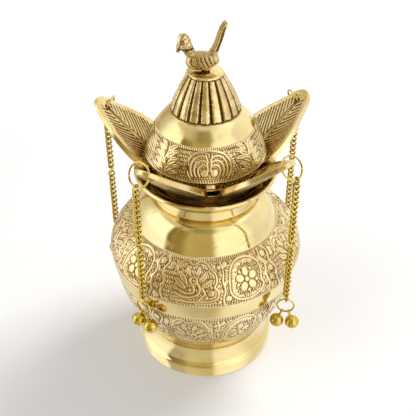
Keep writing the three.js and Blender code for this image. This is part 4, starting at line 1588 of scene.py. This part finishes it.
    def feathers(self, piece: Piece, body: float, head: float) -> None:
        """Cuts wing feathers, tail barbs, the eye and the beak's line, and presses in the foot's
        lowest part, darkened as painted shade where it meets the disc.

        Args:
            piece: The bird's skin.
            body: The body's middle height.
            head: The head's top height.
        """
        places = corners(piece)
        x, y, z = places.T
        side = np.abs(y)
        flank = side > 1.6
        wing = np.exp(-(((x + 1) / 6.4) ** 2 + ((z - body - 0.6) / 3.8) ** 2) ** 2) * flank
        along, across = (x + 9) * 0.92 + (z - body) * 0.4, (z - body) - (x + 9) * 0.2
        shift = 0.5 * (np.floor(along / 2.3) % 2)
        scale = np.hypot((along / 2.3) % 1 - 0.1, ((across / 2.1 + shift) % 1 - 0.5) * 1.1)
        edge = np.hypot((x + 1.5) / 7.2, (z - body - 0.6) / 4.2)
        under = 1 - ease(0.4, 1.8, z - body + 0.2 * x)
        barbs = np.abs(((x - 0.36 * z) * 0.6 + side * 0.9 + 0.3) % 1 - 0.5)
        eye = np.abs(np.hypot(x + 13.6, z - head + 4.6) - 1.1)
        beak = np.abs((x + 15.7) * 0.95 - (z - head + 9.2) * 0.3)
        throat = np.abs(z - head + 9.4 - 0.18 * (x + 12))
        speck = np.sin(x * 3.1 + z * 1.3) * np.sin(z * 2.7 - y * 1.8) * np.sin(y * 3.3 + x)
        cut = np.max([
            wing * ease(0.58, 0.78, scale),
            (1 - ease(0.03, 0.09, np.abs(edge - 1))) * flank * under,
            (1 - ease(0.08, 0.24, barbs)) * (z > body + 6) * (x > 2) * 0.9,
            (1 - ease(0.12, 0.4, eye)) * (side > 1),
            (1 - ease(0.12, 0.35, beak)) * (x < -14.2) * (z < head - 6.5),
            (1 - ease(0.3, 0.9, throat)) * (x > -14.6) * (x < -6) * (z > body + 3),
            # Painted shade: the lowest 1.6 mm of the foot, where it meets the disc, is pressed in
            # and marked dark.
            1 - ease(0.6, 1.6, z - body + 6.7),
            ease(0.12, 0.4, speck) * (x < -6.5) * (z > body + 5) * 0.8,
        ], axis=0)
        normals = np.zeros(places.size)
        piece.data.vertices.foreach_get("normal", normals)
        places -= normals.reshape(-1, 3) * (cut * self.sizes.feather_depth)[:, None]
        put_corners(piece, places)
        note(piece, "relief", 1 - cut * 0.9)
        note(piece, "raw", 0.6)


# The hanging sets


@dataclass
class HangingSizes:
    """Wire, chain and bell sizes in millimetres and degrees, with ring joints in radians."""

    ring_radius: float = 7.3
    wire: float = 1.24
    seat: float = 1.3
    link_wire: float = 1.45
    link_width: float = 5.2
    link_pitch: float = 3.75
    charm_radius: float = 5.5
    play: float = 0.05
    bell_radius: float = 4.7
    bell_wall: float = 0.6
    bell_slot: float = 1.2
    eye_wire: float = 0.8
    eye_seat: float = 1.2
    eye_rise: float = 0.9
    eye_width: float = 3.6
    eye_length: float = 7.0
    eye_angle: float = 22.0
    bell_spacing: float = 10.2
    ring_joint: float = 2.0
    charm_joint: float = 0.4
    seam_height: float = 0.22
    seam_turn: float = 4.0
    seam_sink: float = 0.1
    slot_end_radius: float = 1.0
    slot_end_turn: float = 48.0


class HangingSets(Maker):
    """Five rings, curb chains and pairs of bells."""

    sizes = HangingSizes()

    def build(self) -> None:
        """Models one of each repeated shape and hangs five sets."""
        s = self.sizes
        self.joints = {joint["name"]: joint for joint in frame["joints"]}
        self.ring = self.bench.wire_ring("ring_pattern", s.ring_radius, s.wire, 72, 12, 3)
        self.charm = self.bench.wire_ring("charm_pattern", s.charm_radius, s.wire, 56, 12, 4)
        self.bell = self.bell_pattern()
        slim, stout = s.link_pitch + 2 * s.wire, s.link_pitch + s.wire + s.link_wire
        self.oval = self.loop("link_pattern", s.link_width, slim, s.wire)
        self.heavy = self.loop("heavy_link_pattern", s.link_width + 0.1, stout, s.link_wire)
        # Painted shade: each ring's inner side, facing its hole, is marked darker; its outer side
        # stays bright.
        for ring, radius in ((self.ring, s.ring_radius), (self.charm, s.charm_radius)):
            places = corners(ring)
            note(ring, "worn", ease(-0.7, 0.1, np.hypot(places[:, 0], places[:, 1]) - radius))
        for number in range(1, 6):
            self.hang(number)
        self.bench.drop(self.ring, self.charm, self.bell, self.oval, self.heavy)

    def spot(self, joint: str) -> Vector:
        """Reads where a joint's axis passes, in millimetres."""
        return Vector(self.joints[joint]["pos_m"]) / MM

    def axis(self, joint: str) -> Vector:
        """Reads a joint's axis."""
        return Vector(self.joints[joint]["axis"]).normalized()

    @staticmethod
    def basis(x: Vector, y: Vector, z: Vector, at: Vector) -> Matrix:
        """Builds a place from three directions and a spot in millimetres."""
        turn = Matrix((x, y, z)).transposed().to_4x4()
        turn.translation = at * MM
        return turn

    def upright(self, joint: str) -> Matrix:
        """Builds the frame of a chain that swings on a joint: Z up, Y against the axis."""
        y = -self.axis(joint)
        up = Vector((0, 0, 1))
        return self.basis(y.cross(up), y, up, self.spot(joint))

    def hang(self, number: int) -> None:
        """Hangs one set.

        Args:
            number: The set's number from 1 to 5.
        """
        s = self.sizes
        swing, bend = f"chain_swing_{number}", f"chain_bend_{number}"
        centre, charm_at = self.spot(f"ring_turn_{number}"), self.spot(f"charm_swing_{number}")
        steep = (self.spot(swing) - centre).normalized()
        normal = self.axis(f"ring_turn_{number}")
        place = self.basis(steep, normal.cross(steep), normal, centre)
        place @= Matrix.Rotation(s.ring_joint, 4, "Z")
        body, node = f"ring_{number}", f"top_ring_{number}"
        self.wire(self.ring, f"{node}_wire", place, body, node)
        upper, lower = self.upright(swing), self.upright(bend)
        here, there = upper.col[0].to_3d(), lower.col[0].to_3d()
        twist = math.copysign(math.degrees(here.angle(there)), here.cross(there).z)
        for part, top, end, last in (
            ("upper", upper, lower.translation / MM, 90 + twist),
            ("lower", lower, charm_at, 0),
        ):
            across = top.col[0]
            face = -math.degrees(math.atan2(across.y, across.x))
            length = top.translation.z / MM - end.z
            chain = self.chain(f"curb_chain_{number}_{part}", length, face, last)
            chain.data.transform(top)
            self.place(chain, "gilt_wire", f"chain_{part}_{number}", f"chain_{number}_{part}")
        x, y, z = (lower.col[k].to_3d() for k in range(3))
        place = self.basis(z, y, -x, charm_at + Vector((0, 0, s.seat - s.charm_radius)))
        place @= Matrix.Rotation(s.charm_joint, 4, "Z")
        body, node = f"charm_{number}", f"charm_ring_{number}"
        self.wire(self.charm, f"{node}_wire", place, body, node)
        eye_out = s.charm_radius * math.sin(math.radians(s.eye_angle))
        lean = math.asin((s.bell_spacing / 2 - eye_out) / self.bell_drop())
        for label, side in (("a", -1), ("b", 1)):
            at = self.basis(x, y, z, self.spot(f"bell_swing_{label}_{number}"))
            place = at @ Matrix.Rotation(side * lean, 4, "X")
            body, node = f"bell_{label}_{number}", f"bell_{number}_{label}"
            self.wire(self.bell, f"{node}_round", place, body, node, 40)
            self.dress(frame["nodes"][f"pellet_{number}_{label}"], "inner_steel")

    def wire(
        self, pattern: Piece, name: str, place: Matrix, body: str, node: str, angle: float = 35
    ) -> None:
        """Copies a gilt pattern to its place on a body.

        Args:
            pattern: What is copied.
            name: The copy's name.
            place: Where it goes.
            body: The body that it rides on.
            node: The CAD node that it stands for.
            angle: Edges sharper than this stay sharp, in degrees.
        """
        self.place(self.bench.copy(pattern, name, place), "gilt_wire", body, node, angle)

    def bell_drop(self) -> float:
        """Works out how far a bell's centre lies below the wire that its eye hangs on."""
        s = self.sizes
        return s.eye_length - s.eye_wire - s.eye_seat + s.bell_radius

    def loop(self, name: str, width: float, length: float, wire: float) -> Piece:
        """Models an oval loop in the XZ plane whose top arc lies over the origin.

        Args:
            name: The piece's name.
            width: Its width over the wire.
            length: Its length over the wire.
            wire: The wire's diameter.

        Returns:
            The loop; its top wire's middle is at the origin.
        """
        arc = (width - wire) / 2
        loop = self.bench.add(
            bpy.ops.mesh.primitive_torus_add,
            name,
            major_radius=arc * MM,
            minor_radius=wire / 2 * MM,
            major_segments=20,
            minor_segments=8,
            rotation=(QUARTER_TURN, 0, 0),
        )
        places = corners(loop)
        # Painted shade: the loop's inner side, facing its hole, is marked darker; its outer side
        # stays bright.
        note(loop, "worn", ease(-0.45, 0.25, (np.hypot(places[:, 0], places[:, 2]) - arc) / wire))
        places[:, 2] -= np.where(places[:, 2] < -0.01, length - width, 0)
        places[:, 2] -= arc
        put_corners(loop, places)
        return loop

    def chain(self, name: str, length: float, face: float, last: float) -> Piece:
        """Links ovals into a run of curb chain that hangs from the origin.

        Args:
            name: The piece's name.
            length: The run's length between its two pivots.
            face: The plane in degrees in which the chain lies flat.
            last: The plane in degrees of the last link's lower end.

        Returns:
            The run as one piece.
        """
        s = self.sizes
        count = round(length / s.link_pitch)
        pitch = length / count
        links = []
        for k in range(count):
            start = face - 45 if k else 0
            end = last if k == count - 1 else face + 45
            end = start + (end - start + 89) % 180 - 89
            oval = self.heavy if 0 < k < count - 1 else self.oval
            link = self.bench.copy(oval, "link", Matrix.Identity(4))
            places = corners(link)
            places[:, 2] *= (pitch + s.wire) / (s.link_pitch + s.wire)
            share = np.clip(-places[:, 2] / (pitch + s.wire), 0, 1)
            turn = np.radians(start + (end - start) * ease(0.12, 0.88, share))
            x, y = places[:, 0].copy(), places[:, 1].copy()
            places[:, 0] = x * np.cos(turn) - y * np.sin(turn)
            places[:, 1] = x * np.sin(turn) + y * np.cos(turn)
            places[:, 2] += s.wire + s.play - k * pitch
            put_corners(link, places)
            links.append(link)
        return self.bench.join(name, links)

    def bell_pattern(self) -> Piece:
        """Models a round bell: a seamed shell, a slot with round ends and a wire eye."""
        s = self.sizes
        r = s.bell_radius
        outline = []
        for turn in range(-90, 91, 6):
            seam = s.seam_height * math.exp(-((turn / s.seam_turn) ** 2))
            outline.append(self.round_spot(r - s.seam_sink + seam, turn))
        outline += [self.round_spot(r - s.bell_wall, turn) for turn in range(90, -91, -12)]
        shell = self.bench.lathe("bell_pattern", [*outline, outline[0]], 40)
        self.bench.cut(shell, *self.slot_cutters())
        places = corners(shell)
        # Painted shade: the shell's inside stays dark and its outside darkens towards the bottom;
        # the seam band is marked darker as a dark joint.
        off = np.linalg.norm(places, axis=1) - (r - 0.25)
        seam = ease(0.15, 0.7, np.abs(places[:, 2]))
        worn = ease(-0.3, 0.0, off) * (0.3 + 0.4 * seam) * ease(-r, -r * 0.3, places[:, 2])
        note(shell, "worn", worn)
        eye = self.loop("eye", s.eye_width, s.eye_length, s.eye_wire)
        eye.data.transform(Matrix.Translation((0, 0, s.eye_rise * MM)))
        neck = [(ON_AXIS, r - 0.5), (1.5, r - 0.5), (1.3, r), (0.9, r + 0.4), (ON_AXIS, r + 0.5)]
        knob = self.bench.lathe("knob", [*neck, neck[0]], 20)
        # Painted shade: the knob where the eye joins the shell is kept darker.
        note(knob, "worn", 0.4)
        for part in (shell, knob):
            part.data.transform(Matrix.Translation((0, 0, -self.bell_drop() * MM)))
        return self.bench.join("bell_pattern", [shell, eye, knob])

    @staticmethod
    def round_spot(radius: float, turn: float) -> Point:
        """Finds a point of a bell's outline at an angle above its middle."""
        a = math.radians(turn)
        return radius * math.cos(a) + 0.002, radius * math.sin(a)

    def slot_cutters(self) -> list[Piece]:
        """Makes the block and the two drills that cut a bell's slot."""
        s = self.sizes
        r = s.bell_radius
        block = self.bench.add(
            bpy.ops.mesh.primitive_cube_add,
            "slot",
            size=MM,
            location=(0, 0, -r * MM),
            scale=(r * 1.5, s.bell_slot, r * 1.1),
        )
        ends = [
            self.bench.add(
                bpy.ops.mesh.primitive_cylinder_add,
                "slot_end",
                vertices=20,
                radius=s.slot_end_radius * MM,
                depth=4 * MM,
                location=(side * r * 0.75 * MM, 0, -r * 0.68 * MM),
                rotation=(0, side * math.radians(-s.slot_end_turn), 0),
            )
            for side in (-1, 1)
        ]
        return [block, *ends]


# The studio


@dataclass
class StudioSizes:
    """The photograph's camera in millimetres and degrees, and the light in metres."""

    elevation: float = 37.7
    distance: float = 500.0
    focal_pixels: float = 743.0
    image: int = 416
    shift: float = 1.64
    target: float = 114.3
    roll: float = 0.22
    sensor: float = 36.0
    look_height: float = 0.1
    floor_size: float = 8
    floor_glow: tuple[float, ...] = (0.3, 1.0, 0.05, 1.0)
    paper: Colour = (0.86, 0.85, 0.84)
    fibre: Colour = (0.8, 0.79, 0.78)
    table_roughness: float = 0.12
    table_share: float = 0.6
    world_light: float = 0.45
    lamps: tuple[tuple[str, tuple[float, ...], float, float], ...] = (
        ("key_lamp", (0.75, 0.55, 1.15), 0.7, 16.0),
        ("fill_lamp", (-0.9, -0.5, 0.9), 0.9, 6.0),
    )
    tent_radius: float = 1.4
    upper_from: Point = (0.97, 1.14)
    sky_from: Point = (1.3, 1.45)
    sky: float = 0.95
    panel_strength: float = 2.0
    panels: tuple[tuple[float, Colour], ...] = (
        (-180, (1.7, 1.7, 1.65)),
        (-153, (1.7, 1.7, 1.65)),
        (-148, (0.26, 0.2, 0.09)),
        (-126, (0.38, 0.29, 0.1)),
        (-116, (0.64, 0.54, 0.26)),
        (-80, (0.62, 0.52, 0.24)),
        (-73, (1.5, 1.48, 1.4)),
        (-30, (1.6, 1.58, 1.5)),
        (-10, (1.05, 1.03, 0.97)),
        (25, (1.2, 1.18, 1.08)),
        (60, (1.25, 1.24, 1.18)),
        (85, (1.3, 1.3, 1.25)),
        (104, (0.7, 0.62, 0.42)),
        (126, (0.6, 0.52, 0.32)),
        (150, (0.85, 0.82, 0.74)),
        (168, (1.55, 1.54, 1.5)),
        (180, (1.7, 1.7, 1.65)),
    )
    upper_panels: tuple[tuple[float, Colour], ...] = (
        (-180, (0.85, 0.83, 0.72)),
        (-135, (0.72, 0.66, 0.48)),
        (-108, (0.4, 0.33, 0.15)),
        (-76, (0.5, 0.44, 0.24)),
        (-62, (1.25, 1.24, 1.2)),
        (0, (1.5, 1.5, 1.5)),
        (50, (1.1, 1.1, 1.08)),
        (130, (0.9, 0.88, 0.8)),
        (180, (0.85, 0.83, 0.72)),
    )


class Studio:
    """The floor, the lights, the cards that the brass mirrors and the camera."""

    sizes = StudioSizes()

    def build(self) -> None:
        """Sets up everything that isn't part of the object."""
        self.floor()
        self.world()
        self.lamps()
        self.tent()
        self.camera()

    @staticmethod
    def seen(mix: Mixture) -> Signal:
        """Tells camera, glossy and transmitted rays from the others."""
        camera, glossy, through = (
            mix.node("ShaderNodeLightPath", output=f"Is {kind} Ray")
            for kind in ("Camera", "Glossy", "Transmission")
        )
        return mix.math("MINIMUM", camera + glossy + through, 1.0)

    def floor(self) -> None:
        """Lays the pale floor, which keeps the object's shadow."""
        s = self.sizes
        floor = Bench.add(bpy.ops.mesh.primitive_plane_add, "studio_floor", size=s.floor_size)
        mix = Mixture("studio_paper")
        base = mix.blend(mix.noise(900, 3) * 0.1, s.paper, s.fibre)
        diffuse = mix.node("ShaderNodeBsdfDiffuse", {}, {"Color": base})
        far = mix.node("ShaderNodeVectorMath", {"operation": "LENGTH"}, {0: mix.here()}, "Value")
        glow = mix.glow((1, 0.985, 0.965), far.rise(*s.floor_glow))
        both = mix.node("ShaderNodeAddShader", {}, {0: diffuse, 1: glow})
        values = {"Color": opaque((1, 1, 1)), "Roughness": s.table_roughness}
        gloss = mix.node("ShaderNodeBsdfGlossy", {}, values)
        table = mix.either(s.table_share, mix.glow((1, 0.98, 0.95), 1.0), gloss)
        mirrored = mix.node("ShaderNodeLightPath", output="Is Glossy Ray")
        shader = mix.either(mirrored, mix.either(self.seen(mix), diffuse, both), table)
        mix.node("ShaderNodeOutputMaterial", {}, {"Surface": shader})
        floor.data.materials.append(mix.material)

    def world(self) -> None:
        """Makes a white background for what looks at it and a softer one for light."""
        world = bpy.data.worlds.new("studio_world")
        bpy.context.scene.world = world
        mix = Mixture("studio_world", world)
        strength = self.seen(mix).rise(0, 1, self.sizes.world_light, 1.0)
        values = {"Color": opaque((1, 1, 1)), "Strength": strength}
        shader = mix.node("ShaderNodeBackground", {}, values)
        mix.node("ShaderNodeOutputWorld", {}, {"Surface": shader})

    def lamps(self) -> None:
        """Hangs the soft lamps."""
        aim = Vector((0, 0, self.sizes.look_height))
        for name, place, size, power in self.sizes.lamps:
            lamp = bpy.data.lights.new(name, "AREA")
            lamp.shape = "SQUARE"
            lamp.size = size
            lamp.energy = power
            hung = bpy.data.objects.new(name, lamp)
            bpy.context.scene.collection.objects.link(hung)
            hung.visible_glossy = False
            hung.location = place
            hung.rotation_euler = (aim - Vector(place)).to_track_quat("-Z", "Y").to_euler()

    def tent(self) -> None:
        """Puts a tent of soft panels round the set, which only the brass sees."""
        s = self.sizes
        tent = Bench.add(
            bpy.ops.mesh.primitive_uv_sphere_add,
            "reflection_tent",
            segments=64,
            ring_count=32,
            radius=s.tent_radius,
            location=(0, 0, s.look_height),
        )
        mix = Mixture("tent_panels")
        x, y, z = mix.split()
        round_share = mix.math("ARCTAN2", y, x) * (0.5 / math.pi) + 0.5
        rings = []
        for panels in (s.panels, s.upper_panels):
            stops = [
                ((turn + 180) / 360, tuple(c / s.panel_strength for c in colour))
                for turn, colour in panels
            ]
            rings.append(mix.node("ShaderNodeValToRGB", {"stops": stops}, {0: round_share}))
        colour = mix.blend(z.rise(*s.upper_from), *rings)
        colour = mix.blend(z.rise(*s.sky_from), colour, (s.sky / s.panel_strength,) * 3)
        glow = mix.glow(colour, s.panel_strength)
        mix.node("ShaderNodeOutputMaterial", {}, {"Surface": glow})
        tent.data.materials.append(mix.material)
        for ray in ("camera", "diffuse", "shadow", "transmission", "volume_scatter"):
            setattr(tent, f"visible_{ray}", False)

    def camera(self) -> None:
        """Sets the camera at the photograph's angle."""
        s = self.sizes
        e = math.radians(s.elevation)
        target = Vector((s.shift, 0, s.target)) * MM
        back = Vector((0, -math.cos(e), math.sin(e)))
        data = bpy.data.cameras.new("camera")
        data.sensor_width = s.sensor
        data.lens = s.focal_pixels / s.image * s.sensor
        camera = bpy.data.objects.new("camera", data)
        bpy.context.scene.collection.objects.link(camera)
        camera.location = target + back * s.distance * MM
        look = (-back).to_track_quat("-Z", "Y").to_matrix().to_4x4()
        turn = look @ Matrix.Rotation(math.radians(s.roll), 4, "Z")
        camera.rotation_euler = turn.to_euler()
        bpy.context.scene.camera = camera


def main() -> None:
    """Builds the object and its studio in order."""
    logging.basicConfig(level=logging.INFO, format="%(message)s")
    finishes = {finish.name: finish.material() for finish in FINISHES}
    for kind in (Pot, Crown, Coconut, HangingSets):
        log.info("building %s", kind.__name__)
        kind(finishes).build()
    Studio().build()
    bpy.context.scene.view_settings.view_transform = "Standard"


if __name__ == "__main__":
    main()
